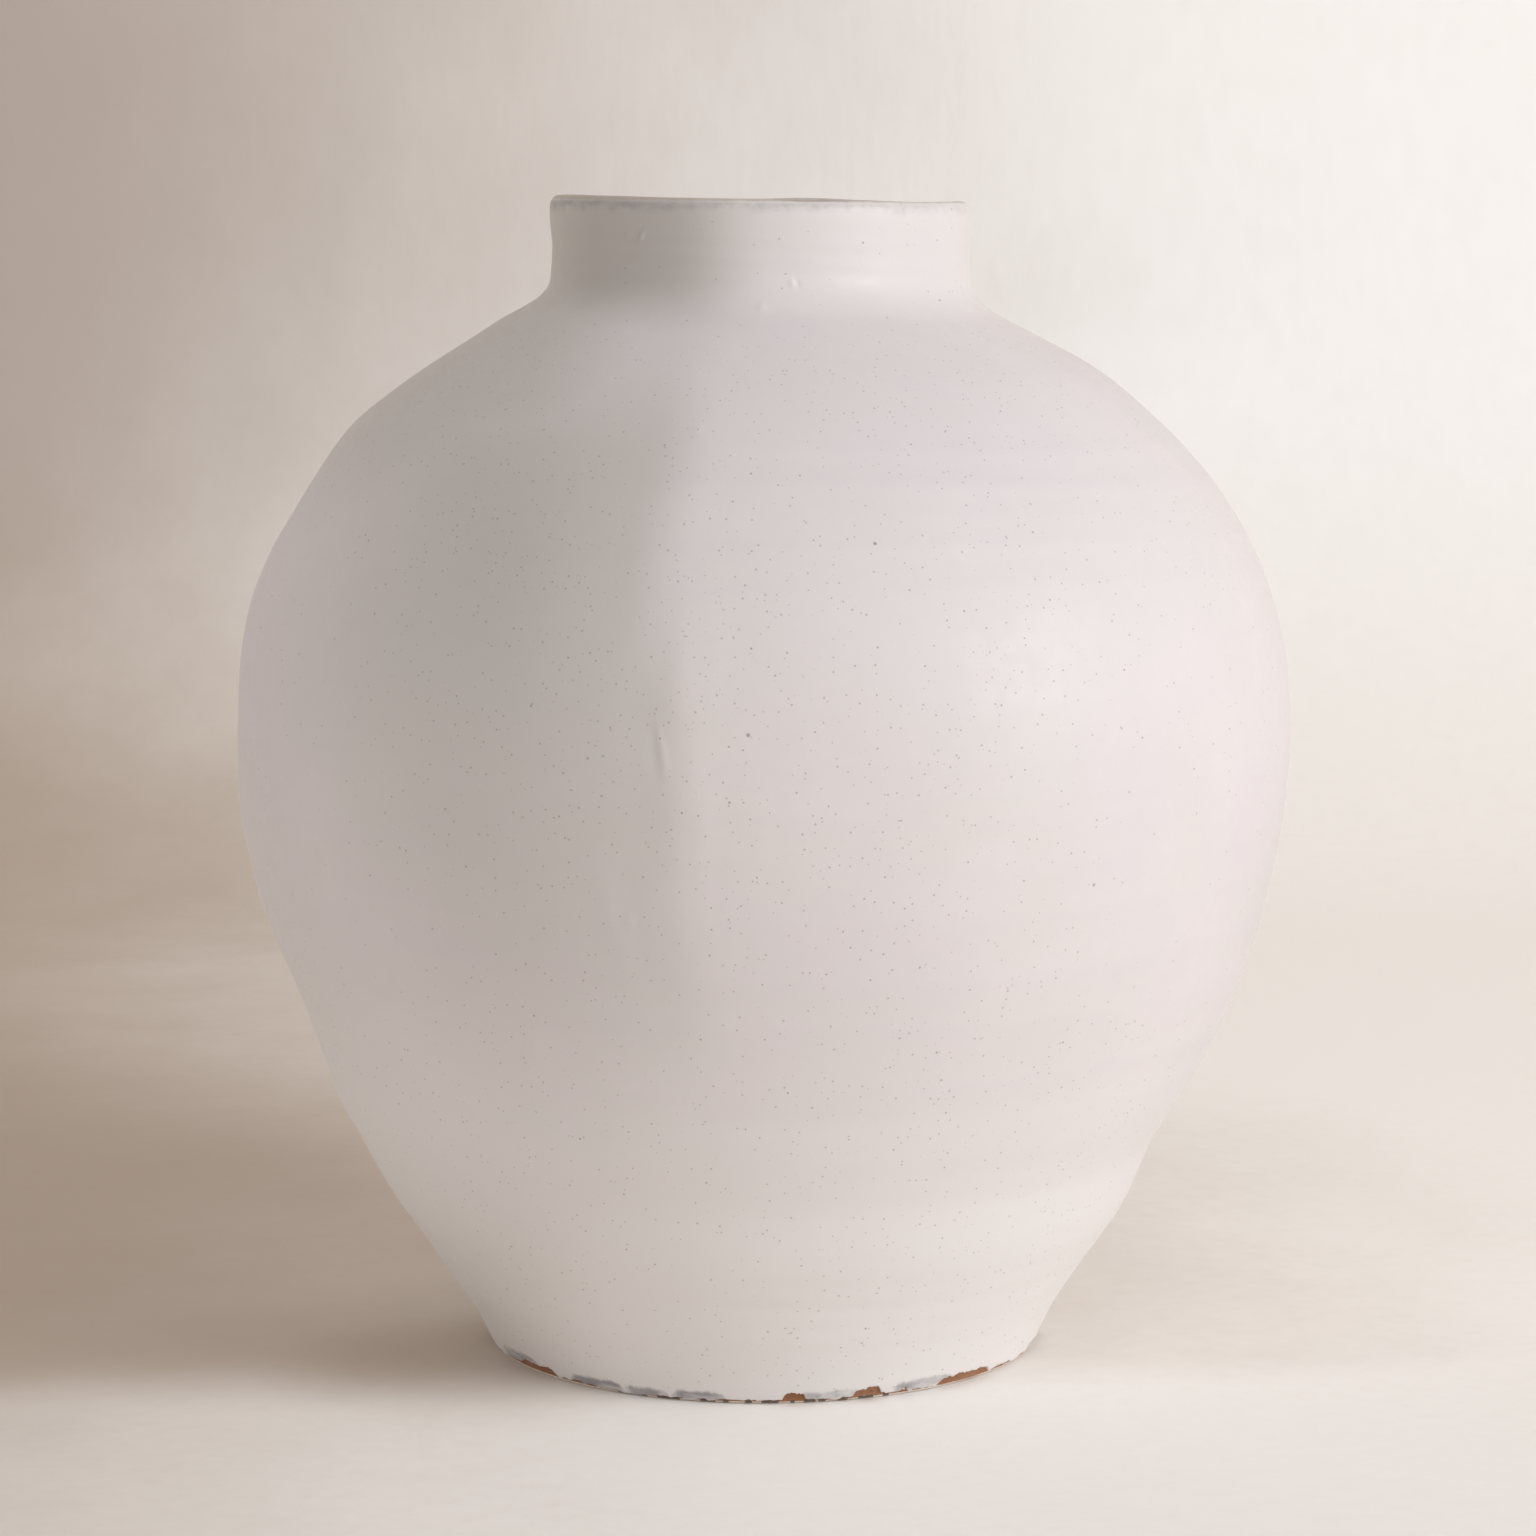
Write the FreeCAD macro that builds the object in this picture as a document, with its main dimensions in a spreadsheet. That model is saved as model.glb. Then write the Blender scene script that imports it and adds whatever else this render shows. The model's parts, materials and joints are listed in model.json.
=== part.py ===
import FreeCAD, Part
import os
from dataclasses import dataclass

import Sketcher

# Moon jar: a large round white porcelain jar, thrown as two bowls and joined at the belly.
#
# The lower bowl carries a foot ring and the upper bowl carries a short upright neck. Slip joins
# the pieces, a coil of clay backs the belly joint from inside, and glaze covers the clay.
# The wall is uneven, as hand throwing leaves it: each ring of it lies a little off the axis,
# and the shoulder and the neck lean a little to one side.
#
# Frame: +Z up, the foot rests on Z = 0, and the origin is below the middle of the belly.
# Millimetres and degrees.

SIZES = {
    # Whole form, outside the glaze
    "jar_height": 450.0,
    "neck_height": 36.0,
    "foot_radius": 108.4,
    "belly_radius": 206.4,
    "neck_radius": 80.9,
    "root_flare": 3.4,
    "lip_flare": 0.5,
    # Unevenness of the thrown wall
    "wander": 2.8,
    "neck_tilt": 1.0,
    # Clay walls and floor
    "foot_wall": 10.5,
    "belly_wall": 6.5,
    "neck_wall": 5.5,
    "floor_thickness": 9.0,
    "floor_round": 30.0,
    # Foot
    "foot_height": 8.0,
    "foot_ring_width": 16.0,
    "recess_draft": 2.0,
    "foot_bevel": 1.0,
    # Joints
    "foot_slip": 1.0,
    "belly_slip": 1.0,
    "neck_slip": 0.8,
    "key_depth": 2.0,
    "key_width": 3.2,
    "neck_joint_drop": 8.0,
    "coil_width": 24.0,
    "coil_rise": 3.5,
    # Glaze
    "glaze": 0.75,
    "foot_hem": 2.5,
    "recess_hem": 3.0,
    "lip_lap": 12.0,
    # Overrun of the cutting blocks past what they cut
    "overrun": 10.0,
}

# The belly's level as a share of the jar's height
BELLY_SHARE = 0.5422

# Levels and radii that several pieces share, as expressions of the sizes above
BELLY_LEVEL = f"({BELLY_SHARE} * sizes.jar_height)"
BOWL_LEVEL = "(sizes.foot_height + sizes.foot_slip)"
NECK_LEVEL = "(sizes.jar_height - sizes.neck_height)"
LIP_LEVEL = "(sizes.jar_height - sizes.glaze - sizes.neck_wall / 2)"
ROOT_RADIUS = "(sizes.neck_radius + sizes.root_flare)"
LIP_MIDDLE = "(sizes.neck_radius + sizes.lip_flare - sizes.glaze - sizes.neck_wall / 2)"
NECK_JOINT_LEVEL = f"({NECK_LEVEL} - sizes.neck_joint_drop)"

# The foot to the belly. Height: share of the belly's level. Radius: share from foot to belly.
# Wall: share from belly wall to foot wall. Then the shares of the wander to the right and to
# the back, and of the tilt.
LOWER_SHARES = [
    (0.000, 0.000, 1.00, 0.00, 0.00, 0.0),
    (0.037, 0.046, 1.00, -0.14, 0.05, 0.0),
    (0.123, 0.178, 0.85, -0.40, 0.20, 0.0),
    (0.184, 0.277, 0.70, -0.25, 0.30, 0.0),
    (0.246, 0.382, 0.50, -0.50, 0.35, 0.0),
    (0.361, 0.524, 0.30, -0.95, 0.20, 0.0),
    (0.426, 0.611, 0.20, -0.66, 0.00, 0.0),
    (0.484, 0.674, 0.15, -0.16, -0.15, 0.0),
    (0.615, 0.809, 0.05, 0.35, -0.30, 0.0),
    (0.779, 0.938, 0.00, -0.20, -0.10, 0.0),
    (1.000, 1.000, 0.00, 0.00, 0.00, 0.0),
]

# Above the belly to the root of the neck. Height: share from belly to neck root. Radius: share
# from neck root to belly. Wall: share from belly wall to neck wall. The rest is as before.
UPPER_SHARES = [
    (0.271, 0.958, 0.10, -0.20, 0.20, 0.0),
    (0.476, 0.837, 0.25, -0.15, 0.30, 0.0),
    (0.624, 0.700, 0.40, -0.45, 0.20, 0.1),
    (0.753, 0.525, 0.60, -0.60, 0.10, 0.25),
    (0.847, 0.345, 0.80, -0.57, 0.10, 0.3),
    (0.906, 0.207, 0.90, -0.57, 0.15, 0.55),
    (0.941, 0.118, 1.00, -0.57, 0.20, 0.9),
    (0.971, 0.042, 1.00, -0.57, 0.20, 1.0),
    (1.000, 0.000, 1.00, -0.57, 0.20, 0.8),
]

# Above the neck's root to the middle of the rounded lip. Height: share from root to lip. Radius:
# shares of the root's flare and of the lip's flare. The rest is as before.
NECK_SHARES = [
    (0.15, 0.24, 0.0, -0.57, 0.20, 0.7),
    (0.40, 0.00, 0.0, -0.57, 0.20, 0.6),
    (0.70, 0.00, 0.5, -0.57, 0.20, 0.6),
    (0.92, 0.00, 1.0, -0.57, 0.20, 0.7),
    (1.00, 0.00, 1.0, -0.57, 0.20, 0.7),
]

# The floor inside turns up into the wall through an arc. Shares of the arc's whole turn.
FLOOR_TURN_SHARES = (0.0, 0.33, 0.67, 1.0)
FIRST_OPEN_STATION = 3


@dataclass(frozen=True)
class Station:
    """One ring of the thrown wall: expressions for its place and wall, shares for its unevenness."""

    height: str
    radius: str
    wall: str
    side_share: float
    back_share: float
    tilt_share: float
    slant: str = "1"


def blend(start, end, share):
    """Gives the expression of a value that lies a share of the way from start to end."""
    return f"({start} + {share} * ({end} - {start}))"


def slant_between(below, above):
    """Gives how much longer the wall's width is level than square to it, between two stations."""
    rise = f"({above.height} - {below.height})"
    run = f"({above.radius} - {below.radius})"
    return f"(hypot({run}; {rise}) / {rise})"


def jar_stations():
    """Lists the stations of the jar's outside from the ground to the lip."""
    plain = []
    for height, radius, wall, side, back, tilt in LOWER_SHARES:
        plain.append(Station(blend("0", BELLY_LEVEL, height),
                             blend("sizes.foot_radius", "sizes.belly_radius", radius),
                             blend("sizes.belly_wall", "sizes.foot_wall", wall),
                             side, back, tilt))
    for height, radius, wall, side, back, tilt in UPPER_SHARES:
        plain.append(Station(blend(BELLY_LEVEL, NECK_LEVEL, height),
                             blend(ROOT_RADIUS, "sizes.belly_radius", radius),
                             blend("sizes.belly_wall", "sizes.neck_wall", wall),
                             side, back, tilt))
    for height, root, lip, side, back, tilt in NECK_SHARES:
        plain.append(Station(blend(NECK_LEVEL, LIP_LEVEL, height),
                             f"(sizes.neck_radius + {root} * sizes.root_flare + {lip} * sizes.lip_flare)",
                             "sizes.neck_wall", side, back, tilt))
    slanted = []
    last = len(plain) - 1
    for number, station in enumerate(plain):
        if number == last:
            slanted.append(station)
            continue
        slant = slant_between(plain[max(number - 1, 0)], plain[number + 1])
        slanted.append(Station(station.height, station.radius, station.wall, station.side_share,
                               station.back_share, station.tilt_share, slant))
    return slanted


def make_sheet(doc):
    """Puts the driving sizes into a spreadsheet, one named cell each."""
    sheet = doc.addObject("Spreadsheet::Sheet", "sizes")
    for row, (name, value) in enumerate(SIZES.items(), start=1):
        sheet.set(f"A{row}", name)
        sheet.set(f"B{row}", str(value))
        sheet.setAlias(f"B{row}", name)
    doc.recompute()
    return sheet


def lean(item, height, side_share, back_share, tilt_share):
    """Sets an object's place: its height, its wander off the axis and its lean about Y."""
    item.Placement = FreeCAD.Placement(FreeCAD.Vector(), FreeCAD.Rotation(FreeCAD.Vector(0, 1, 0), 1))
    item.setExpression("Placement.Base.x", f"sizes.wander * {side_share}")
    item.setExpression("Placement.Base.y", f"sizes.wander * {back_share}")
    item.setExpression("Placement.Base.z", height)
    item.setExpression("Placement.Rotation.Angle", f"sizes.neck_tilt * {tilt_share}")


def add_ring(doc, name, radius, height, station):
    """Adds one circle of the thrown wall, off the axis and leaning as its station says."""
    ring = doc.addObject("Part::Circle", name)
    ring.setExpression("Radius", radius)
    lean(ring, height, station.side_share, station.back_share, station.tilt_share)
    return ring


def add_loft(doc, name, rings):
    """Adds the smooth closed solid through the rings."""
    loft = doc.addObject("Part::Loft", name)
    loft.Sections = rings
    loft.Solid = True
    loft.Ruled = False
    return loft


def outer_form(doc, name, stations, depth):
    """Adds the jar's outside at a depth under the glaze's surface, as a solid from ground to lip."""
    rings = []
    for number, station in enumerate(stations):
        radius = f"{station.radius} - {depth} * {station.slant}"
        rings.append(add_ring(doc, f"{name}_ring_{number:02d}", radius, station.height, station))
    return add_loft(doc, name, rings)


def inner_form(doc, name, stations, wall_share, coat):
    """Adds the room inside the jar as a solid from floor to lip.

    The wall share is how much of the clay wall lies outside it, and the coat is what lies on
    the clay inside. The floor turns up through an arc that ends in the slope of the wall.
    """
    rings = []
    foot = stations[FIRST_OPEN_STATION - 1]
    wall = stations[FIRST_OPEN_STATION]
    rise = f"({wall.height} - {foot.height})"
    run = f"({wall.radius} - {foot.radius})"
    turn = f"atan({rise} / {run})"
    bend = f"(sizes.floor_round - {coat})"
    middle_level = f"({BOWL_LEVEL} + {wall_share} * sizes.floor_thickness + sizes.floor_round)"
    end_level = f"({middle_level} - {bend} * cos({turn}))"
    depth = f"(sizes.glaze + {wall_share} * {foot.wall} + {coat})"
    end_radius = (f"({foot.radius} + ({end_level} - {foot.height}) * {run} / {rise}"
                  f" - {depth} * hypot({run}; {rise}) / {rise})")
    for number, turn_share in enumerate(FLOOR_TURN_SHARES):
        radius = f"{end_radius} - {bend} * (sin({turn}) - sin({turn_share} * {turn}))"
        height = f"{middle_level} - {bend} * cos({turn_share} * {turn})"
        rings.append(add_ring(doc, f"{name}_floor_{number}", radius, height, foot))
    for number, station in enumerate(stations[FIRST_OPEN_STATION:], start=FIRST_OPEN_STATION):
        depth = f"(sizes.glaze + {wall_share} * {station.wall} + {coat})"
        radius = f"{station.radius} - {depth} * {station.slant}"
        rings.append(add_ring(doc, f"{name}_ring_{number:02d}", radius, station.height, station))
    return add_loft(doc, name, rings)


def add_cylinder(doc, name, radius, height, base="0", station=None):
    """Adds an upright cylinder, or one that leans as the station does."""
    block = doc.addObject("Part::Cylinder", name)
    block.setExpression("Radius", radius)
    block.setExpression("Height", height)
    if station is None:
        block.setExpression("Placement.Base.z", base)
    else:
        lean(block, base, station.side_share, station.back_share, station.tilt_share)
    return block


def add_cone(doc, name, base_radius, top_radius, height, base="0"):
    """Adds an upright cone frustum."""
    cone = doc.addObject("Part::Cone", name)
    cone.setExpression("Radius1", base_radius)
    cone.setExpression("Radius2", top_radius)
    cone.setExpression("Height", height)
    cone.setExpression("Placement.Base.z", base)
    return cone


def add_torus(doc, name, ring_radius, tube_radius):
    """Adds a torus round Z, still without its place."""
    torus = doc.addObject("Part::Torus", name)
    torus.setExpression("Radius1", ring_radius)
    torus.setExpression("Radius2", tube_radius)
    return torus


def add_coil(doc, name, ring_radius, tube_radius):
    """Adds a thick ring at the belly's level, with its start at the jar's back."""
    coil = add_torus(doc, name, ring_radius, tube_radius)
    coil.Placement = FreeCAD.Placement(FreeCAD.Vector(), FreeCAD.Rotation(FreeCAD.Vector(0, 0, 1), 90))
    coil.setExpression("Placement.Base.z", BELLY_LEVEL)
    return coil


def add_lip_round(doc, name, tube_radius, lip, above_lip):
    """Adds the round top of the lip: the upper half of a torus over the middle of the wall."""
    torus = add_torus(doc, f"{name}_torus", LIP_MIDDLE, tube_radius)
    lean(torus, LIP_LEVEL, lip.side_share, lip.back_share, lip.tilt_share)
    return combine(doc, "Common", name, torus, above_lip)


def combine(doc, kind, name, base, tool):
    """Adds a boolean of two objects: Cut, Common or Fuse."""
    result = doc.addObject(f"Part::{kind}", name)
    result.Base = base
    result.Tool = tool
    return result


def origin_plane(body, role):
    """Finds one of a body's own origin planes by its role."""
    for feature in body.Origin.OriginFeatures:
        if feature.Role == role:
            return feature
    raise LookupError(role)


def turned_block(doc, name, corners):
    """Adds a block turned round Z from a closed outline of corners, each a radius and a height.

    The first and the last corner lie on the axis.
    """
    body = doc.addObject("PartDesign::Body", name)
    sketch = body.newObject("Sketcher::SketchObject", f"{name}_outline")
    sketch.AttachmentSupport = [(origin_plane(body, "XZ_Plane"), "")]
    sketch.MapMode = "FlatFace"
    values = [(sheet_value(doc, radius), sheet_value(doc, height)) for radius, height in corners]
    points = [FreeCAD.Vector(radius, height, 0) for radius, height in values]
    for start, end in zip(points, points[1:] + points[:1]):
        sketch.addGeometry(Part.LineSegment(start, end), False)
    count = len(points)
    for number in range(count):
        sketch.addConstraint(Sketcher.Constraint("Coincident", number, 2, (number + 1) % count, 1))
    for number, (radius, height) in enumerate(corners):
        if radius == "0":
            sketch.addConstraint(Sketcher.Constraint("PointOnObject", number, 1, -2))
        else:
            place = sketch.addConstraint(
                Sketcher.Constraint("DistanceX", -1, 1, number, 1, points[number].x))
            sketch.setExpression(f"Constraints[{place}]", radius)
        place = sketch.addConstraint(
            Sketcher.Constraint("DistanceY", -1, 1, number, 1, points[number].y))
        sketch.setExpression(f"Constraints[{place}]", height)
    turned = body.newObject("PartDesign::Revolution", f"{name}_turned")
    turned.Profile = sketch
    turned.ReferenceAxis = (sketch, ["V_Axis"])
    turned.Angle = 360
    return body


def sheet_value(doc, expression):
    """Works out an expression of the sizes as a plain number."""
    return float(doc.getObject("sizes").evalExpression(expression.replace("sizes.", "")))


def belly_face(lift):
    """Lists the corners of the keyed joint face at the belly, from outside to the axis.

    A groove runs round the middle of the wall, and the lift raises the whole face.
    """
    level = f"({BELLY_LEVEL} + {lift})"
    middle = "(sizes.belly_radius - sizes.glaze - sizes.belly_wall / 2)"
    return [
        ("(sizes.belly_radius + sizes.overrun)", level),
        (f"({middle} + sizes.key_width / 2)", level),
        (middle, f"({level} - sizes.key_depth)"),
        (f"({middle} - sizes.key_width / 2)", level),
        ("0", level),
    ]


def clay_blocks(doc):
    """Adds the blocks that part the clay wall into its bowls, seams, foot and neck."""
    wide = "(sizes.belly_radius + sizes.overrun)"
    low_face = belly_face("-sizes.belly_slip / 2")
    high_face = belly_face("sizes.belly_slip / 2")
    top = "(sizes.jar_height + sizes.overrun)"
    lower = turned_block(doc, "lower_block", [("0", BOWL_LEVEL), (wide, BOWL_LEVEL)] + low_face)
    seam = turned_block(doc, "belly_seam_block", low_face[::-1] + high_face)
    upper = turned_block(doc, "upper_block", high_face[::-1] + [(wide, top), ("0", top)])
    return lower, seam, upper


def clay_pieces(doc, clay_shell, stations):
    """Parts the clay into foot ring, bowls, neck collar and the slip between them."""
    lower_block, belly_seam_block, upper_block = clay_blocks(doc)
    wide = "(sizes.belly_radius + sizes.overrun)"
    shoulder = stations[-len(NECK_SHARES) - 2]
    foot_block = add_cylinder(doc, "foot_block", wide, "sizes.foot_height")
    foot_seam_block = add_cylinder(doc, "foot_seam_block", wide, "sizes.foot_slip", "sizes.foot_height")
    recess_radius = "(sizes.foot_radius - sizes.foot_ring_width)"
    recess = add_cone(doc, "recess_form", recess_radius, f"({recess_radius} - sizes.recess_draft)",
                      BOWL_LEVEL)
    bevel_radius = "(sizes.foot_radius - sizes.glaze - sizes.foot_bevel)"
    bevel = add_cone(doc, "foot_bevel_form", bevel_radius, f"({bevel_radius} + sizes.foot_height)",
                     "sizes.foot_height")
    ring = combine(doc, "Common", "foot_ring_clay", clay_shell, foot_block)
    bevelled = combine(doc, "Common", "foot_ring_bevelled", ring, bevel)
    foot_ring = combine(doc, "Cut", "foot_ring", bevelled, recess)
    foot_seam = combine(doc, "Common", "foot_seam_clay", clay_shell, foot_seam_block)
    foot_slip = combine(doc, "Cut", "foot_slip_seam", foot_seam, recess)
    lower_bowl = combine(doc, "Common", "lower_bowl", clay_shell, lower_block)
    belly_slip = combine(doc, "Common", "belly_slip_seam", clay_shell, belly_seam_block)
    above_joint = add_cylinder(doc, "above_neck_joint", wide, "sizes.jar_height",
                               NECK_JOINT_LEVEL, shoulder)
    neck_seam_block = add_cylinder(doc, "neck_seam_block", wide, "sizes.neck_slip",
                                   NECK_JOINT_LEVEL, shoulder)
    collar_block = add_cylinder(doc, "collar_block", wide, "sizes.jar_height",
                                f"({NECK_JOINT_LEVEL} + sizes.neck_slip)", shoulder)
    upper_clay = combine(doc, "Common", "upper_clay", clay_shell, upper_block)
    upper_bowl = combine(doc, "Cut", "upper_bowl", upper_clay, above_joint)
    neck_slip = combine(doc, "Common", "neck_slip_seam", clay_shell, neck_seam_block)
    neck_collar = combine(doc, "Common", "neck_collar", clay_shell, collar_block)
    return [foot_ring, foot_slip, lower_bowl, belly_slip, upper_bowl, neck_slip, neck_collar]


def foot_recess_glaze(doc):
    """Adds the glaze under the floor and down the inside of the foot ring."""
    radius = "(sizes.foot_radius - sizes.foot_ring_width)"
    outside = add_cone(doc, "recess_glaze_outside", radius, f"({radius} - sizes.recess_draft)", BOWL_LEVEL)
    inside = add_cone(doc, "recess_glaze_inside", f"({radius} - sizes.glaze)",
                      f"({radius} - sizes.recess_draft - sizes.glaze)",
                      f"({BOWL_LEVEL} - sizes.glaze)")
    hem = add_cylinder(doc, "recess_glaze_hem", "sizes.foot_radius",
                       "(sizes.recess_hem + sizes.overrun)", "-sizes.overrun")
    cup = combine(doc, "Cut", "recess_glaze_cup", outside, inside)
    return combine(doc, "Cut", "foot_recess_glaze", cup, hem)


def build(doc):
    """Builds the jar in the document and gives its pieces."""
    make_sheet(doc)
    stations = jar_stations()
    lip = stations[-1]
    wide = "(sizes.belly_radius + sizes.overrun)"

    # The clay wall, with its rounded lip
    clay_form = outer_form(doc, "clay_form", stations, "sizes.glaze")
    hollow_form = inner_form(doc, "hollow_form", stations, 1, "0")
    clay_wall = combine(doc, "Cut", "clay_wall", clay_form, hollow_form)
    above_lip = add_cylinder(doc, "above_lip", wide, "sizes.neck_height", LIP_LEVEL, lip)
    clay_lip = add_lip_round(doc, "clay_lip", "sizes.neck_wall / 2", lip, above_lip)
    clay_shell = combine(doc, "Fuse", "clay_shell", clay_wall, clay_lip)
    pieces = clay_pieces(doc, clay_shell, stations)

    # The coil pressed into the belly joint from inside: the part of a thick ring that shows there
    coil_round = ("((pow(sizes.coil_width / 2; 2) + pow(sizes.coil_rise; 2))"
                  " / (2 * sizes.coil_rise))")
    coil_middle = (f"(sizes.belly_radius - sizes.glaze - sizes.belly_wall - sizes.coil_rise"
                   f" + {coil_round})")
    coil_form = add_coil(doc, "coil_form", coil_middle, coil_round)
    coil = combine(doc, "Common", "belly_seam_coil", hollow_form, coil_form)

    # The glaze outside, over the lip and a little way down inside the neck
    lap_level = f"({LIP_LEVEL} - sizes.lip_lap)"
    above_lap = add_cylinder(doc, "above_lap", wide, "sizes.jar_height", lap_level, lip)
    glazed_form = outer_form(doc, "glazed_form", stations, "0")
    glazed_room = inner_form(doc, "glazed_room", stations, 1, "sizes.glaze")
    glazed_wall = combine(doc, "Cut", "glazed_wall", glazed_form, glazed_room)
    glazed_lip = add_lip_round(doc, "glazed_lip", "(sizes.neck_wall / 2 + sizes.glaze)", lip, above_lip)
    glazed_shell = combine(doc, "Fuse", "glazed_shell", glazed_wall, glazed_lip)
    coat = combine(doc, "Cut", "glaze_coat", glazed_shell, clay_shell)
    middle_form = inner_form(doc, "middle_form", stations, 0.5, "0")
    core = combine(doc, "Cut", "glaze_core", middle_form, above_lap)
    outer_coat = combine(doc, "Cut", "outer_coat", coat, core)
    hem = add_cylinder(doc, "foot_hem_block", wide, "(sizes.foot_hem + sizes.overrun)", "-sizes.overrun")
    outer_glaze = combine(doc, "Cut", "outer_glaze", outer_coat, hem)

    # The glaze inside, over the floor, the walls and the coil
    glazed_coil = add_coil(doc, "glazed_coil_form", coil_middle, f"({coil_round} + sizes.glaze)")
    room = combine(doc, "Cut", "free_room", glazed_room, glazed_coil)
    below_lap = combine(doc, "Cut", "hollow_below_lap", hollow_form, above_lap)
    beside_coil = combine(doc, "Cut", "hollow_beside_coil", below_lap, coil_form)
    inner_glaze = combine(doc, "Cut", "inner_glaze", beside_coil, room)

    recess_glaze = foot_recess_glaze(doc)
    doc.recompute()
    return pieces + [coil, outer_glaze, inner_glaze, recess_glaze]


def check(doc, pieces):
    """Stops if any object of the document failed, or a piece isn't one valid closed solid."""
    for item in doc.Objects:
        if "Invalid" in item.State or "Error" in item.State:
            raise RuntimeError(f"{item.Label} failed: {item.State}")
    for piece in pieces:
        shape = piece.Shape
        if shape.isNull() or not shape.isValid() or len(shape.Solids) != 1:
            raise RuntimeError(f"{piece.Label} is not one valid solid")


def main():
    """Builds, checks and writes the jar's pieces."""
    doc = FreeCAD.newDocument("moon_jar")
    pieces = build(doc)
    check(doc, pieces)
    os.makedirs("parts", exist_ok=True)
    for piece in pieces:
        box = piece.Shape.optimalBoundingBox(False)
        print(f"{piece.Label}: volume {piece.Shape.Volume:.0f} mm3, Z {box.ZMin:.2f} to {box.ZMax:.2f},"
              f" X {box.XMin:.2f} to {box.XMax:.2f}, Y {box.YMin:.2f} to {box.YMax:.2f}")
        piece.Shape.exportStep(os.path.join("parts", f"{piece.Label}.step"))


main()
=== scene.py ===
"""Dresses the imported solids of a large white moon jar.

The glaze, the worn foot ring and the coat inside are surfaces worked out with numpy from the
same thrown wall as the solids. The clay and the slip under the glaze stay as packed and get a
fired finish. Lengths in the tables are millimetres, and meshes are in metres.
"""

import json
import logging
import math
from dataclasses import dataclass, field
from enum import Enum

import bpy
import numpy as np
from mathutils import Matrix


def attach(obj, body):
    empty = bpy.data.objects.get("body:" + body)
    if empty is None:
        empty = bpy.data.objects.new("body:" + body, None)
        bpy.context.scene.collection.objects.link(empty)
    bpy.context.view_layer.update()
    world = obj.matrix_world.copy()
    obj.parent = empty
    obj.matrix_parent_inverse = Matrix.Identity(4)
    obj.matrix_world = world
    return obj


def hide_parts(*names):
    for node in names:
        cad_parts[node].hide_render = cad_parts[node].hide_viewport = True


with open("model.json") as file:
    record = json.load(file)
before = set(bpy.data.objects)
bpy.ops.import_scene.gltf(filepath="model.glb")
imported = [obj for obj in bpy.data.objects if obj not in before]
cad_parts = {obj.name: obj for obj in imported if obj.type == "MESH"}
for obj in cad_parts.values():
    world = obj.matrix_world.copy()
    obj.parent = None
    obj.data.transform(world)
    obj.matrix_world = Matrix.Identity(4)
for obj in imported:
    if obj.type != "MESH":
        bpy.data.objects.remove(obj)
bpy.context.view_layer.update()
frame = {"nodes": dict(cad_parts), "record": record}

MM = 0.001
FULL_TURN = 2.0 * math.pi
BODY = "root"
log = logging.getLogger("moon_jar")

Colour = tuple[float, float, float, float]
Span = tuple[float, float]
Spot = tuple[float, float, float]


# --------------------------------------------------------------------------------- The thrown wall


@dataclass(frozen=True)
class JarSizes:
    """The driving sizes of the jar, as in its source, in millimetres and degrees."""

    jar_height: float = 450.0
    neck_height: float = 36.0
    belly_share: float = 0.5422
    foot_radius: float = 108.4
    belly_radius: float = 206.4
    neck_radius: float = 80.9
    root_flare: float = 3.4
    lip_flare: float = 0.5
    wander: float = 2.8
    neck_tilt: float = 1.0
    foot_wall: float = 10.5
    belly_wall: float = 6.5
    neck_wall: float = 5.5
    bowl_level: float = 9.0
    floor_thickness: float = 9.0
    floor_round: float = 30.0
    foot_ring_width: float = 16.0
    recess_draft: float = 2.0
    foot_bevel: float = 1.0
    coil_width: float = 24.0
    coil_rise: float = 3.5
    glaze: float = 0.75
    lip_lap: float = 12.0

    @property
    def belly_level(self) -> float:
        """The level of the widest ring."""
        return self.belly_share * self.jar_height

    @property
    def neck_level(self) -> float:
        """The level of the neck's root."""
        return self.jar_height - self.neck_height

    @property
    def lip_level(self) -> float:
        """The level of the middle of the rounded lip."""
        return self.jar_height - self.glaze - self.neck_wall / 2

    @property
    def lip_middle(self) -> float:
        """The radius of the middle of the rounded lip."""
        return self.neck_radius + self.lip_flare - self.glaze - self.neck_wall / 2


# The foot to the belly. Height: share of the belly's level. Radius: share from foot to belly.
# Wall: share from belly wall to foot wall. Then the shares of the wander and of the tilt.
LOWER_SHARES = (
    (0.000, 0.000, 1.00, 0.00, 0.00, 0.0),
    (0.037, 0.046, 1.00, -0.14, 0.05, 0.0),
    (0.123, 0.178, 0.85, -0.40, 0.20, 0.0),
    (0.184, 0.277, 0.70, -0.25, 0.30, 0.0),
    (0.246, 0.382, 0.50, -0.50, 0.35, 0.0),
    (0.361, 0.524, 0.30, -0.95, 0.20, 0.0),
    (0.426, 0.611, 0.20, -0.66, 0.00, 0.0),
    (0.484, 0.674, 0.15, -0.16, -0.15, 0.0),
    (0.615, 0.809, 0.05, 0.35, -0.30, 0.0),
    (0.779, 0.938, 0.00, -0.20, -0.10, 0.0),
    (1.000, 1.000, 0.00, 0.00, 0.00, 0.0),
)

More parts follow.
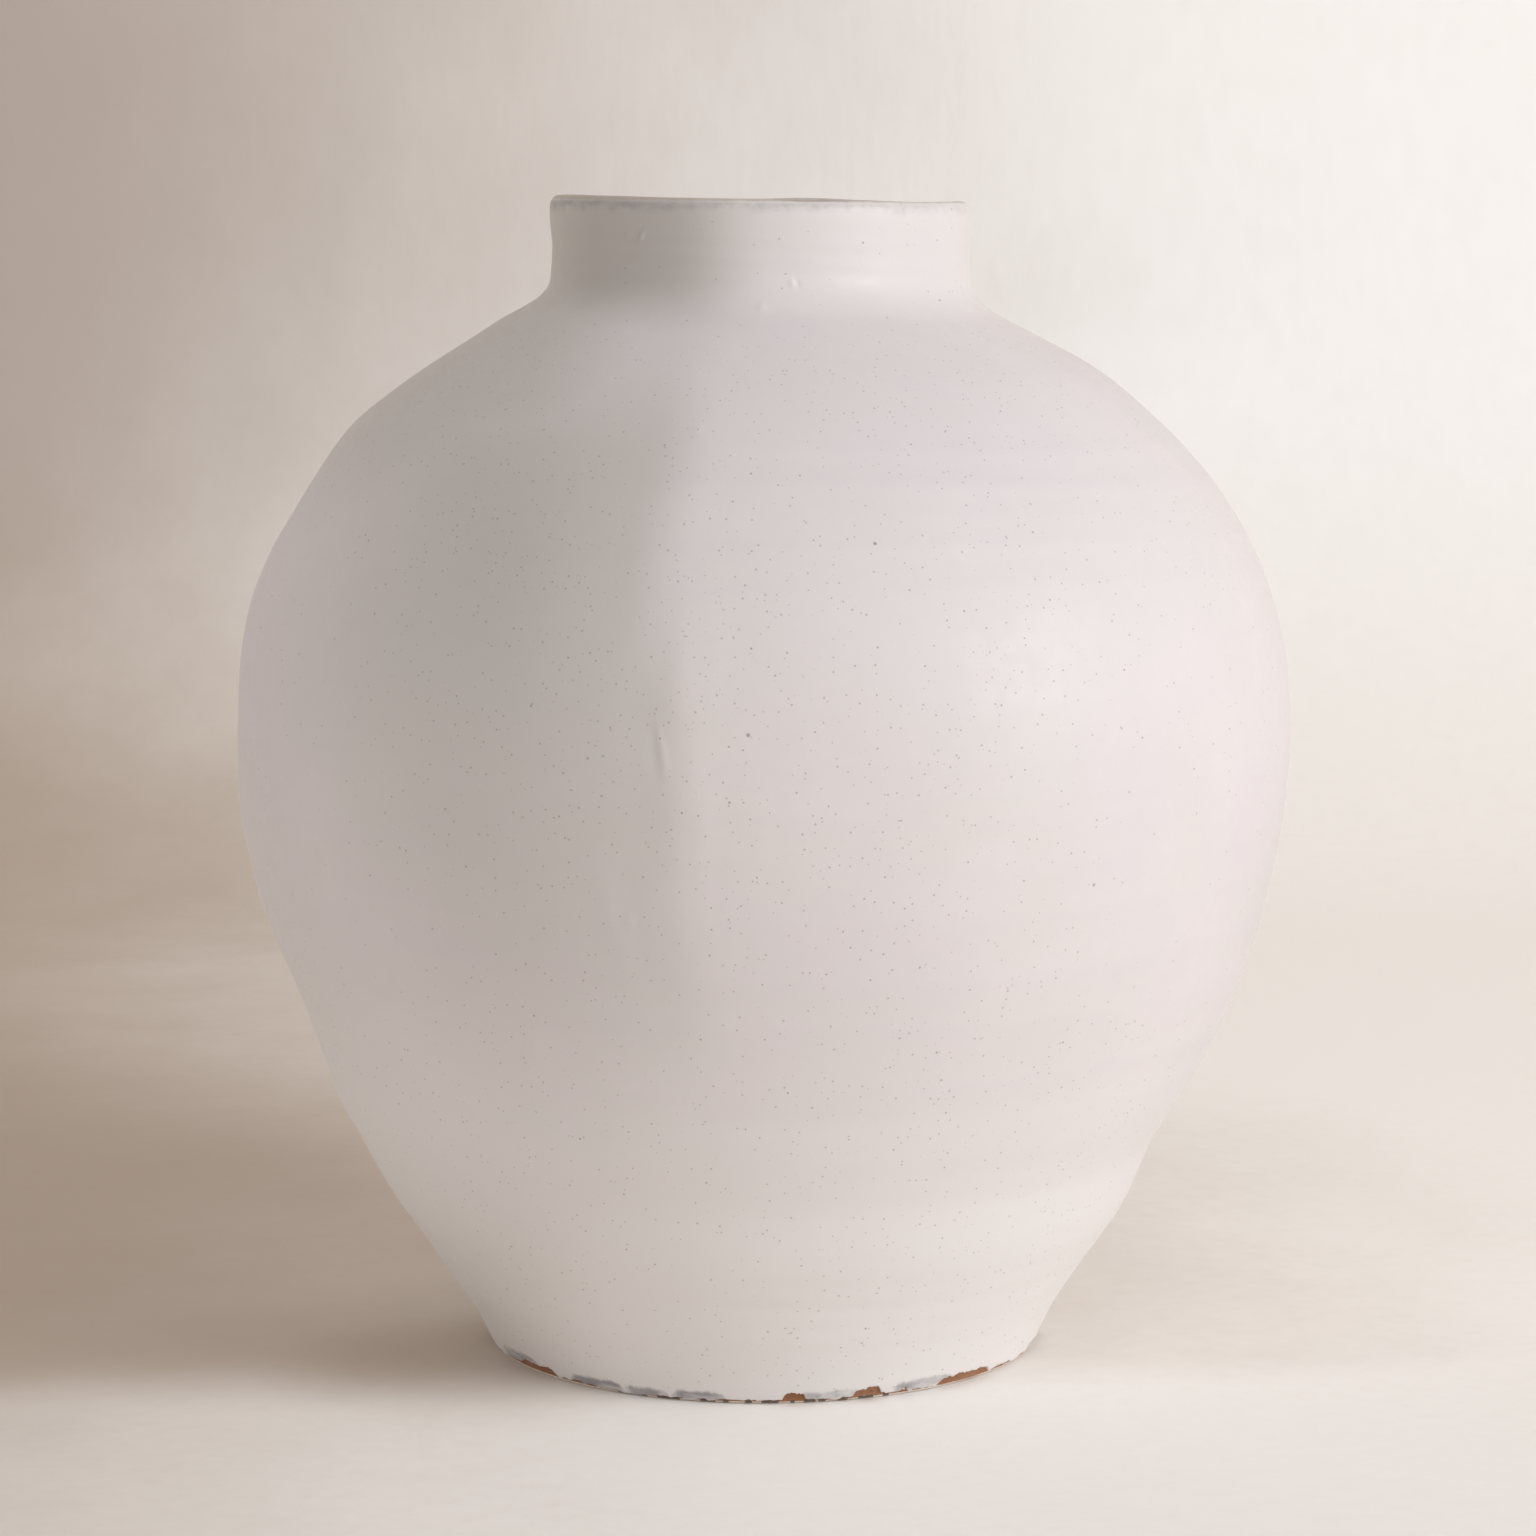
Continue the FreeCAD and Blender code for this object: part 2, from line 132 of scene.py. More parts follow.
# Above the belly to the root of the neck: the height's share goes from the belly to the root,
# the radius' share from the root to the belly, and the wall's from the belly to the neck.
UPPER_SHARES = (
    (0.271, 0.958, 0.10, -0.20, 0.20, 0.0),
    (0.476, 0.837, 0.25, -0.15, 0.30, 0.0),
    (0.624, 0.700, 0.40, -0.45, 0.20, 0.1),
    (0.753, 0.525, 0.60, -0.60, 0.10, 0.25),
    (0.847, 0.345, 0.80, -0.57, 0.10, 0.3),
    (0.906, 0.207, 0.90, -0.57, 0.15, 0.55),
    (0.941, 0.118, 1.00, -0.57, 0.20, 0.9),
    (0.971, 0.042, 1.00, -0.57, 0.20, 1.0),
    (1.000, 0.000, 1.00, -0.57, 0.20, 0.8),
)

# Above the neck's root to the lip: height, shares of the root's and of the lip's flare, the rest.
NECK_SHARES = (
    (0.15, 0.24, 0.0, -0.57, 0.20, 0.7),
    (0.40, 0.00, 0.0, -0.57, 0.20, 0.6),
    (0.70, 0.00, 0.5, -0.57, 0.20, 0.6),
    (0.92, 0.00, 1.0, -0.57, 0.20, 0.7),
    (1.00, 0.00, 1.0, -0.57, 0.20, 0.7),
)
FLOOR_TURN_SHARES = (0.0, 0.33, 0.67, 1.0)
FIRST_OPEN_STATION = 3

# The lip's unevenness: how much it stands up all round and at the left, then its waves as strength,
# count and phase, and its bumps and dips as turn in degrees, push and width
LIP_RISE, LEFT_LIP_RISE = 0.45, 0.75
LIP_WAVES = ((0.14, 2, 0.7), (0.10, 5, 2.0), (0.05, 11, 0.0))
LIP_BUMPS = ((-79.0, -0.58, 0.025), (76.0, 0.50, 0.022), (35.0, -0.55, 0.05))

# How far the real outline stands out from the stations, left and right: level and push.
LEFT_TRIM = ((0.0, 0.5), (8.0, 0.2), (16.0, -0.45), (30.0, 0.0), (56.0, -0.2), (92.0, 0.15),
             (128.0, 0.15), (146.0, 0.0), (158.0, 0.25), (170.0, 0.68), (182.0, 0.3), (193.0, 0.0),
             (206.0, 0.34), (221.0, 0.75), (236.0, 0.3), (244.0, -0.1), (257.0, -0.36), (284.0, -0.05),
             (311.0, 0.52), (326.0, 0.0), (341.0, -0.7), (352.0, 0.0), (362.0, 0.62), (374.0, -0.15),
             (383.0, -0.47), (400.0, -0.1), (410.0, 0.05), (416.0, -0.35), (422.0, 0.33), (430.0, -0.1),
             (440.0, 0.3), (450.0, 0.1))
RIGHT_TRIM = ((0.0, 0.3), (14.0, -0.18), (38.0, 0.0), (66.0, 0.05), (80.0, -0.4), (94.0, 0.0),
              (134.0, 0.29), (164.0, -0.11), (200.0, 0.0), (224.0, -0.18), (266.0, -0.26),
              (296.0, 0.0), (350.0, 0.12), (374.0, 0.13), (384.0, 0.62), (395.0, 0.1),
              (404.0, 0.14), (410.0, 0.35), (416.0, -0.45), (422.0, 0.45), (430.0, 0.1),
              (440.0, -0.27), (450.0, 0.0))


class NaturalSpline:
    """A natural cubic spline through rows of values.

    Between two knots the value is the straight blend of both ends plus the cubic term that the
    knots' second derivatives give. Those solve the usual three-banded equations.
    """

    def __init__(self, knots: np.ndarray, values: np.ndarray) -> None:
        """Solves for the second derivatives.

        Args:
            knots: Rising places of the knots.
            values: One row of values for each knot.
        """
        self.knots = np.asarray(knots, float)
        self.values = np.asarray(values, float).reshape(len(self.knots), -1)
        gap = np.diff(self.knots)
        slope = np.diff(self.values, axis=0) / gap[:, None]
        inner = np.arange(1, len(gap))
        bands = np.eye(len(self.knots))
        bands[inner, inner - 1] = gap[:-1]
        bands[inner, inner] = 2 * (gap[:-1] + gap[1:])
        bands[inner, inner + 1] = gap[1:]
        right_side = np.zeros_like(self.values)
        right_side[1:-1] = 6 * np.diff(slope, axis=0)
        self.bends = np.linalg.solve(bands, right_side)

    def __call__(self, place: np.ndarray) -> np.ndarray:
        """Gives the values at the places, on a new last axis.

        Args:
            place: Any array of places.

        Returns:
            The places' shape with the values' axis added.
        """
        place = np.clip(np.asarray(place, float), self.knots[0], self.knots[-1])
        low = np.clip(np.searchsorted(self.knots, place) - 1, 0, len(self.knots) - 2)
        gap = (self.knots[low + 1] - self.knots[low])[..., None]
        near = (self.knots[low + 1] - place)[..., None] / gap
        far = 1 - near
        cubic = (near ** 3 - near) * self.bends[low] + (far ** 3 - far) * self.bends[low + 1]
        return near * self.values[low] + far * self.values[low + 1] + cubic * gap ** 2 / 6


@dataclass(frozen=True)
class SoftForm:
    """A soft swell or dent left by the hands or by a run of glaze.

    The push is a bell curve over the wall: it falls off by e to the minus half of the squared
    distance, measured in half-widths across and along.
    """

    turn: float
    level: float
    across: float
    along: float
    push: float
    lean: float = 0.0

    def height(self, turn: np.ndarray, level: np.ndarray, girth: np.ndarray) -> np.ndarray:
        """Gives the form's push in millimetres at each place of the wall.

        Args:
            turn: Angles round the axis in radians.
            level: Heights in millimetres.
            girth: Radii of the wall in millimetres.

        Returns:
            The push, outward positive.
        """
        away = np.angle(np.exp(1j * (turn - math.radians(self.turn)))) * girth
        rise = level - self.level
        lean = math.radians(self.lean)
        across = (away * math.cos(lean) - rise * math.sin(lean)) / self.across
        along = (away * math.sin(lean) + rise * math.cos(lean)) / self.along
        return self.push * np.exp(-0.5 * (across ** 2 + along ** 2))


@dataclass(frozen=True)
class RingBand:
    """A band of throwing rings, strongest at its middle.

    The push is a sine of the level over the pitch that climbs one pitch in a full turn, times a
    bell curve over level and turn.
    """

    level: float
    half_height: float
    pitch: float
    push: float
    turn: float = 0.0
    half_turn: float = 400.0

    def height(self, turn: np.ndarray, level: np.ndarray) -> np.ndarray:
        """Gives the rings' push in millimetres at each place of the wall.

        Args:
            turn: Angles round the axis in radians.
            level: Heights in millimetres.

        Returns:
            The push, outward positive.
        """
        away = np.angle(np.exp(1j * (turn - math.radians(self.turn)))) / math.radians(self.half_turn)
        window = np.exp(-0.5 * (((level - self.level) / self.half_height) ** 2 + away ** 2))
        sway = 0.9 * np.sin(2 * turn + self.level) + 0.6 * np.sin(3 * turn + 0.1 * level)
        return self.push * window * np.sin(FULL_TURN * level / self.pitch + turn + sway)


SOFT_FORMS = (
    # The two sides of the shaded front: swells whose far side turns to the light
    SoftForm(-112.5, 313.0, 16.0, 24.0, 0.90, 12.0),
    SoftForm(-64.5, 277.0, 19.0, 21.0, 0.90, -10.0),
    # The crease left of the middle, between a dent and a swell
    SoftForm(-101.8, 275.0, 5.0, 25.0, -0.42, 4.0),
    SoftForm(-96.8, 280.0, 6.5, 28.0, 0.45, 4.0),
    SoftForm(-101.0, 261.0, 1.3, 6.5, -0.30, -9.0),
    SoftForm(-99.9, 261.0, 1.2, 6.5, 0.32, -9.0),
    SoftForm(-98.4, 290.0, 3.0, 15.0, 0.16, 3.0),
    # Runs of glaze below it
    SoftForm(-105.3, 201.0, 2.6, 20.0, 0.16, -12.0),
    SoftForm(-103.2, 206.0, 2.4, 26.0, -0.08, -8.0),
    SoftForm(-98.4, 208.0, 2.2, 30.0, 0.07, -3.0),
    SoftForm(-95.9, 214.0, 2.2, 26.0, 0.07, -2.0),
    SoftForm(-93.2, 205.0, 2.4, 30.0, 0.06, 2.0),
    SoftForm(-90.6, 212.0, 2.2, 24.0, 0.05, 2.0),
    # Sweeps of the fingers right of the middle
    SoftForm(-73.5, 254.0, 2.4, 26.0, 0.07, 38.0),
    SoftForm(-70.8, 250.0, 2.6, 30.0, 0.08, 40.0),
    SoftForm(-68.0, 246.0, 2.2, 26.0, 0.07, 43.0),
    SoftForm(-64.8, 240.0, 2.6, 22.0, 0.06, 47.0),
    # Burst bubbles on the neck, and pimples
    SoftForm(-124.5, 436.6, 0.8, 2.0, -0.90, 42.0),
    SoftForm(-123.2, 436.0, 0.7, 1.7, 0.75, 42.0),
    SoftForm(-81.5, 419.7, 0.9, 1.2, 0.30, -30.0),
    SoftForm(-80.3, 420.0, 0.9, 1.2, -0.28, -30.0),
    SoftForm(-98.4, 368.8, 1.6, 1.6, 0.22),
    SoftForm(-89.6, 410.7, 1.3, 1.3, 0.25),
    SoftForm(-103.3, 199.8, 1.6, 1.8, 0.24),
    # Broad presses of the palms round the rest of the jar
    SoftForm(-140.0, 226.0, 30.0, 34.0, -0.40, 20.0),
    SoftForm(-30.0, 300.0, 26.0, 30.0, 0.45, -15.0),
    SoftForm(22.0, 190.0, 28.0, 26.0, -0.35, 10.0),
    SoftForm(70.0, 290.0, 24.0, 30.0, 0.60, 25.0),
    SoftForm(112.0, 205.0, 20.0, 28.0, 0.50, -20.0),
    SoftForm(150.0, 300.0, 30.0, 22.0, -0.40, 0.0),
    SoftForm(96.0, 262.0, 3.0, 22.0, 0.16, 20.0),
    SoftForm(-170.0, 260.0, 3.0, 26.0, 0.14, -10.0),
)

RING_BANDS = (
    RingBand(347.0, 24.0, 11.5, 0.085, -55.0, 50.0),
    RingBand(340.0, 32.0, 17.0, 0.075),
    RingBand(112.0, 38.0, 14.0, 0.055, -60.0, 60.0),
    RingBand(124.0, 48.0, 21.0, 0.075),
    RingBand(230.0, 60.0, 19.0, 0.05),
    RingBand(40.0, 22.0, 10.5, 0.07),
    RingBand(430.0, 12.0, 8.0, 0.06),
)


class HandMarks:
    """All that the hands, the wheel and the kiln did to the wall beyond its stations."""

    SETTLES_BY = 30.0
    CALM_FROM, CALM_OVER = 440.0, 20.0
    SIDE_CALM = 0.75
    SEAM_PUSH, SEAM_HALF_HEIGHT, SEAM_SWAY = 0.16, 3.4, 1.5

    def __init__(self, sizes: JarSizes, deepest: float = 0.52, swells: int = 26, seed: int = 11) -> None:
        """Draws the random swells.

        Args:
            sizes: The jar's sizes.
            deepest: Deepest inward push, short of the clay under the glaze.
            swells: How many slow waves make up the wall's random unevenness.
            seed: Seed of the draw.
        """
        self.sizes = sizes
        self.deepest = deepest
        draw = np.random.default_rng(seed)
        self.waves_round = draw.integers(2, 9, swells).astype(float)
        self.waves_up = draw.uniform(1.0, 6.0, swells) * FULL_TURN / sizes.jar_height
        self.phases = draw.uniform(0.0, FULL_TURN, swells)
        self.strengths = 0.34 / (self.waves_round + 3.0 * draw.uniform(0.6, 1.4, swells))
        self.left = NaturalSpline(*np.array(LEFT_TRIM).T)
        self.right = NaturalSpline(*np.array(RIGHT_TRIM).T)

    def rings(self, turn: np.ndarray, level: np.ndarray) -> np.ndarray:
        """Gives the push of the throwing rings alone.

        Args:
            turn: Angles round the axis in radians.
            level: Heights in millimetres.

        Returns:
            The push in millimetres, outward positive.
        """
        return sum(band.height(turn, level) for band in RING_BANDS)

    def push(self, turn: np.ndarray, level: np.ndarray, girth: np.ndarray) -> np.ndarray:
        """Gives how far the outside stands out from its stations.

        The left and right outlines' trims fade by the fourth power of the turn's cosine. To them come
        slow random waves, the soft forms, the rings and the belly's seam, a low bell-shaped ridge. An
        inward push p becomes the deepest push times the hyperbolic tangent of p over it, so it never
        goes deeper than the glaze.

        Args:
            turn: Angles round the axis in radians.
            level: Heights in millimetres.
            girth: Radii of the wall in millimetres.

        Returns:
            The push in millimetres, outward positive.
        """
        turn, level, girth = np.broadcast_arrays(turn, level, girth)
        side = np.cos(turn)
        total = self.left(level)[..., 0] * np.where(side < 0, side ** 4, 0)
        total += self.right(level)[..., 0] * np.where(side > 0, side ** 4, 0)
        settled = np.clip(level / self.SETTLES_BY, 0, 1)
        settled = settled * np.clip((self.CALM_FROM - level) / self.CALM_OVER, 0, 1)
        waves = np.zeros(turn.shape)
        for count, rate, phase, strength in zip(
                self.waves_round, self.waves_up, self.phases, self.strengths):
            waves += strength * np.cos(count * turn + phase) * np.cos(rate * level + 2.0 * phase)
        total += settled * waves * (1.0 - self.SIDE_CALM * side ** 2)
        for form in SOFT_FORMS:
            total += form.height(turn, level, girth)
        total += self.rings(turn, level)
        above_seam = level - self.sizes.belly_level - self.SEAM_SWAY * np.sin(2 * turn)
        total += self.SEAM_PUSH * np.exp(-0.5 * (above_seam / self.SEAM_HALF_HEIGHT) ** 2)
        return np.where(total < 0, -self.deepest * np.tanh(-total / self.deepest), total)


PROFILE_STEP = 0.05


class ThrownWall:
    """The jar's wall: rings of the stations, joined by a spline over the profile's length."""

    def __init__(self, sizes: JarSizes) -> None:
        """Works out the stations and the outside's profile.

        Args:
            sizes: The jar's sizes.
        """
        self.sizes = sizes
        self.stations = self._stations()
        self.slants = self._slants()
        self.marks = HandMarks(sizes)
        self.knots = self.lengths(self.stations)
        self.profile = NaturalSpline(self.knots, self.stations)

    def _stations(self) -> np.ndarray:
        """Turns the tables of shares into stations: a size is its start plus share times span.

        Returns:
            One row for each ring: height, radius, wall, side, back and tilt.
        """
        sizes = self.sizes
        root = sizes.neck_radius + sizes.root_flare
        lower, upper, neck = (np.array(table) for table in (LOWER_SHARES, UPPER_SHARES, NECK_SHARES))
        rows = []
        for table, height, radius, wall in (
                (lower, (0.0, sizes.belly_level), (sizes.foot_radius, sizes.belly_radius),
                 (sizes.belly_wall, sizes.foot_wall)),
                (upper, (sizes.belly_level, sizes.neck_level), (root, sizes.belly_radius),
                 (sizes.belly_wall, sizes.neck_wall))):
            spans = np.array([height, radius, wall])
            rows.append(np.hstack([spans[:, 0] + table[:, :3] * (spans[:, 1] - spans[:, 0]),
                                   self._unevenness(table)]))
        height = sizes.neck_level + neck[:, 0] * (sizes.lip_level - sizes.neck_level)
        radius = sizes.neck_radius + neck[:, 1] * sizes.root_flare + neck[:, 2] * sizes.lip_flare
        wall = np.full(len(neck), sizes.neck_wall)
        rows.append(np.column_stack([height, radius, wall, self._unevenness(neck)]))
        return np.vstack(rows)

    def _unevenness(self, table: np.ndarray) -> np.ndarray:
        """Gives the columns side, back and tilt of a table of shares."""
        return table[:, 3:] * np.array([self.sizes.wander, self.sizes.wander, self.sizes.neck_tilt])

    def _slants(self) -> np.ndarray:
        """Gives how much longer the wall's width is level than square to it.

        It is the length of the step from the ring below to the ring above over its rise.

        Returns:
            The factor for each station; the lip's is one.
        """
        height, radius = self.stations[:, 0], self.stations[:, 1]
        low = np.maximum(np.arange(len(height)) - 1, 0)
        high = np.minimum(np.arange(len(height)) + 1, len(height) - 1)
        rise = height[high] - height[low]
        slants = np.hypot(radius[high] - radius[low], rise) / rise
        slants[-1] = 1.0
        return slants

    @staticmethod
    def lengths(rows: np.ndarray) -> np.ndarray:
        """Gives the profile's length up to each row of height and radius."""
        steps = np.hypot(np.diff(rows[:, 0]), np.diff(rows[:, 1]))
        return np.concatenate([[0.0], np.cumsum(steps)])

    def length_at(self, level: float) -> float:
        """Gives the profile's length from the ground up to a level."""
        lengths = np.linspace(0.0, self.knots[-1], 4001)
        return float(np.interp(level, self.profile(lengths)[:, 0], lengths))

    @staticmethod
    def place(turn: np.ndarray, radius: np.ndarray, rise: np.ndarray, height: np.ndarray,
              side: np.ndarray, back: np.ndarray, tilt: np.ndarray) -> np.ndarray:
        """Puts points on leaning, wandering rings.

        A point lies on its ring's plane at the radius and the turn, plus the rise square to the
        plane. The plane turns by the tilt about the Y axis and moves by side, back and height.

        Args:
            turn: Angles in radians.
            radius: Radii on the ring's plane.
            rise: Heights above the ring's plane.
            height: Levels of the rings' middles.
            side: Their places along X.
            back: Their places along Y.
            tilt: Their tilts in degrees.

        Returns:
            The points, with X, Y and Z on a new last axis.
        """
        tilt = np.radians(tilt)
        out = radius * np.cos(turn)
        return np.stack(np.broadcast_arrays(
            side + out * np.cos(tilt) + rise * np.sin(tilt),
            back + radius * np.sin(turn),
            height - out * np.sin(tilt) + rise * np.cos(tilt)), axis=-1)

    def outside(self, turn: np.ndarray, length: np.ndarray, depth: np.ndarray | float = 0.0) -> np.ndarray:
        """Gives points of the outside, or of a surface under it.

        The point is the station's ring moved along the profile's normal by the hand marks' push
        less the depth.

        Args:
            turn: Angles in radians.
            length: Lengths along the profile.
            depth: How far below the outside the surface lies.

        Returns:
            The points in millimetres.
        """
        turn, length = np.broadcast_arrays(turn, length)
        height, radius, _, side, back, tilt = np.moveaxis(self.profile(length), -1, 0)
        ahead = self.profile(length + PROFILE_STEP) - self.profile(length - PROFILE_STEP)
        normal = np.hypot(ahead[..., 0], ahead[..., 1])
        out, up = ahead[..., 0] / normal, -ahead[..., 1] / normal
        push = self.marks.push(turn, height, radius) - depth
        return self.place(turn, radius + push * out, push * up, height, side, back, tilt)

    def lip(self, turn: np.ndarray, bend: np.ndarray, round_radius: float) -> np.ndarray:
        """Gives points of the rounded lip: a half circle over the middle of the wall.

        The lip stands up by sines of whole numbers of waves, and by bumps that fall off with the
        cosine of the turn from their middle.

        Args:
            turn: Angles round the jar.
            bend: Angles over the lip, 0 outside and half a turn inside.
            round_radius: The half circle's radius.

        Returns:
            The points in millimetres.
        """
        sizes = self.sizes
        height, _, _, side, back, tilt = self.stations[-1]
        push = self.marks.push(turn, np.full_like(turn, height), np.full_like(turn, sizes.neck_radius))
        wave = LIP_RISE + LEFT_LIP_RISE * leftness(turn) ** 2
        for strength, count, phase in LIP_WAVES:
            wave = wave + strength * np.sin(count * turn + phase)
        for middle, bump, width in LIP_BUMPS:
            wave = wave + bump * np.exp((np.cos(turn - math.radians(middle)) - 1.0) / width)
        radius = sizes.lip_middle + push + round_radius * np.cos(bend)
        rise = round_radius * np.sin(bend) + wave * np.sin(bend)
        return self.place(turn, radius, rise, height, side, back, tilt)

    def inner_rings(self, coat: float) -> np.ndarray:
        """Gives the rings of the room inside: height, radius, side, back and tilt.

        The floor turns up through an arc that ends in the slope of the wall, as in the source.

        Args:
            coat: Thickness of what lies on the clay.

        Returns:
            One row for each ring, from the floor's edge to the lip.
        """
        sizes = self.sizes
        foot, wall = self.stations[FIRST_OPEN_STATION - 1], self.stations[FIRST_OPEN_STATION]
        rise, run = wall[0] - foot[0], wall[1] - foot[1]
        turn = math.atan2(rise, run)
        bend = sizes.floor_round - coat
        middle_level = sizes.bowl_level + sizes.floor_thickness + sizes.floor_round
        end_level = middle_level - bend * math.cos(turn)
        depth = sizes.glaze + foot[2] + coat
        end_radius = foot[1] + (end_level - foot[0]) * run / rise - depth * math.hypot(run, rise) / rise
        shares = np.array(FLOOR_TURN_SHARES) * turn
        floor = np.column_stack([middle_level - bend * np.cos(shares),
                                 end_radius - bend * (math.sin(turn) - np.sin(shares)),
                                 np.tile(foot[3:], (len(shares), 1))])
        open_part = self.stations[FIRST_OPEN_STATION:]
        depths = (sizes.glaze + open_part[:, 2] + coat) * self.slants[FIRST_OPEN_STATION:]
        walls = np.column_stack([open_part[:, 0], open_part[:, 1] - depths, open_part[:, 3:]])
        return np.vstack([floor, walls])


# ------------------------------------------------------------------------------ Grids into meshes


def leftness(turn: np.ndarray) -> np.ndarray:
    """Gives 1 at the jar's left and 0 at its right: half of one less the turn's cosine."""
    return 0.5 - 0.5 * np.cos(turn)


def turns(columns: int) -> np.ndarray:
    """Gives evenly spread angles for a full turn, on a row of their own."""
    return np.linspace(0.0, FULL_TURN, columns, endpoint=False)[None, :]


def ring_points(turn: np.ndarray, radius: np.ndarray, level: np.ndarray) -> np.ndarray:
    """Gives points on plain rings round Z."""
    return np.stack(np.broadcast_arrays(radius * np.cos(turn), radius * np.sin(turn), level), axis=-1)


def front_turns(columns: int, crowding: float = 0.55) -> np.ndarray:
    """Gives angles for a full turn that lie closer together at the front, where the marks are small.

    An even angle less the crowding times the sine of its distance from the front.

    Args:
        columns: How many angles.
        crowding: Share by which the steps shrink at the front and grow at the back.

    Returns:
        The angles, on a row of their own.
    """
    even = turns(columns)
    return even - crowding * np.sin(even + math.pi / 2)


def grid_faces(rows: int, columns: int, closed: bool) -> np.ndarray:
    """Gives the quads of a grid that closes round the turn.

    A quad goes from a point to the next one round the turn, then up a row and back, so that its
    normal is the turn's direction crossed with the rows' direction.

    Args:
        rows: Number of rows.
        columns: Number of columns.
        closed: Whether the last row joins the first.

    Returns:
        One row of four indices for each quad.
    """
    last = rows if closed else rows - 1
    row, column = np.meshgrid(np.arange(last), np.arange(columns), indexing="ij")
    above, beside = (row + 1) % rows, (column + 1) % columns
    corners = [row * columns + column, row * columns + beside,
               above * columns + beside, above * columns + column]
    return np.stack(corners, axis=-1).reshape(-1, 4)


def pole_faces(rows: int, columns: int) -> tuple[np.ndarray, np.ndarray]:
    """Gives the triangles that close an open grid's first and last row to a pole each.

    Args:
        rows: Number of rows.
        columns: Number of columns.

    Returns:
        The first pole's triangles and the last pole's, as rows of three indices.
    """
    first = np.arange(columns)
    beside = (first + 1) % columns
    low_pole, high_pole = rows * columns, rows * columns + 1
    top = (rows - 1) * columns
    low = np.stack([beside, first, np.full(columns, low_pole)], axis=-1)
    high = np.stack([top + first, top + beside, np.full(columns, high_pole)], axis=-1)
    return low, high


def make_shell(name: str, points: np.ndarray, closed: bool) -> bpy.types.Object:
    """Makes a closed, smooth-shaded piece from rows of rings.

    The rings go anticlockwise round the profile's outline. A closed one joins its last ring to
    its first, and an open one ends in a pole at each end.

    Args:
        name: Name of the piece.
        points: Rows, columns and coordinates in millimetres.
        closed: Whether the rows form a loop.

    Returns:
        The new object, at the origin.
    """
    rows, columns, _ = points.shape
    vertices = points.reshape(-1, 3)
    faces = grid_faces(rows, columns, closed).tolist()
    if not closed:
        vertices = np.vstack([vertices, points[0].mean(axis=0), points[-1].mean(axis=0)])
        low, high = pole_faces(rows, columns)
        faces += low.tolist() + high.tolist()
    mesh = bpy.data.meshes.new(name)
    mesh.from_pydata((vertices * MM).tolist(), [], faces)
    mesh.polygons.foreach_set("use_smooth", np.ones(len(faces), bool))
    mesh.update()
    piece = bpy.data.objects.new(name, mesh)
    bpy.context.scene.collection.objects.link(piece)
    return piece


def set_tone(piece: bpy.types.Object, name: str, values: np.ndarray) -> None:
    """Stores one number for each of the piece's points, for its material to read.

    Args:
        piece: A piece from make_shell.
        name: The attribute's name.
        values: The numbers, from the first point on; the rest gets nought.
    """
    every = np.zeros(len(piece.data.vertices), np.float32)
    every[:values.size] = values.ravel()
    piece.data.attributes.new(name, "FLOAT", "POINT").data.foreach_set("value", every)


def set_normals(piece: bpy.types.Object, points: np.ndarray, exact: np.ndarray,
                trust: np.ndarray | float = 1.0) -> None:
    """Gives the piece smooth normals that are exact where neighbouring bands meet.

    Past the exact rows a normal is the step round the turn crossed with the step along the rows,
    both taken between a point's neighbours on the closed grid.

    Args:
        piece: A piece from make_shell, of a closed grid.
        points: Its rows, columns and coordinates.
        exact: Exact normals of the first rows.
        trust: Their share against the grid's own, for each point.
    """
    round_step = np.roll(points, -1, axis=1) - np.roll(points, 1, axis=1)
    row_step = np.roll(points, -1, axis=0) - np.roll(points, 1, axis=0)
    normals = np.cross(round_step, row_step)
    normals /= np.maximum(np.linalg.norm(normals, axis=-1, keepdims=True), 1e-12)
    share = np.broadcast_to(trust, exact.shape[:2])[..., None]
    normals[:len(exact)] = share * exact + (1.0 - share) * normals[:len(exact)]
    normals /= np.maximum(np.linalg.norm(normals, axis=-1, keepdims=True), 1e-12)
    piece.data.normals_split_custom_set_from_vertices(normals.reshape(-1, 3).tolist())


def smooth_step(value: np.ndarray, low: float, high: float) -> np.ndarray:
    """Gives 0 below low, 1 above high, and the cubic three x squared less two x cubed between."""
    share = np.clip((value - low) / (high - low), 0.0, 1.0)
    return share * share * (3.0 - 2.0 * share)


def fall(value: np.ndarray, low: float, high: float) -> np.ndarray:
    """Gives 1 below low, 0 above high, and the smooth step's cubic between."""
    return smooth_step(-value, -high, -low)


def ragged(turn: np.ndarray, seed: int, slowest: int, fastest: int, count: int) -> np.ndarray:
    """Gives a closed random line round the turn, of about unit strength.

    It is a sum of cosines with whole numbers of waves, each weaker as it has more waves.

    Args:
        turn: Angles in radians.
        seed: Seed of the draw.
        slowest: Fewest waves round the turn.
        fastest: Most waves round the turn.
        count: How many cosines.

    Returns:
        The line at each angle.
    """
    draw = np.random.default_rng(seed)
    waves = np.unique(np.geomspace(slowest, fastest, count).astype(int)).astype(float)
    phases = draw.uniform(0.0, FULL_TURN, len(waves))
    weights = (slowest / waves) ** 0.35
    total = np.zeros(np.shape(turn))
    for wave, phase, weight in zip(waves, phases, weights):
        total += weight * np.cos(wave * turn + phase)
    return total / math.sqrt(0.5 * float((weights ** 2).sum()))


# -------------------------------------------------------------------------------------- Materials


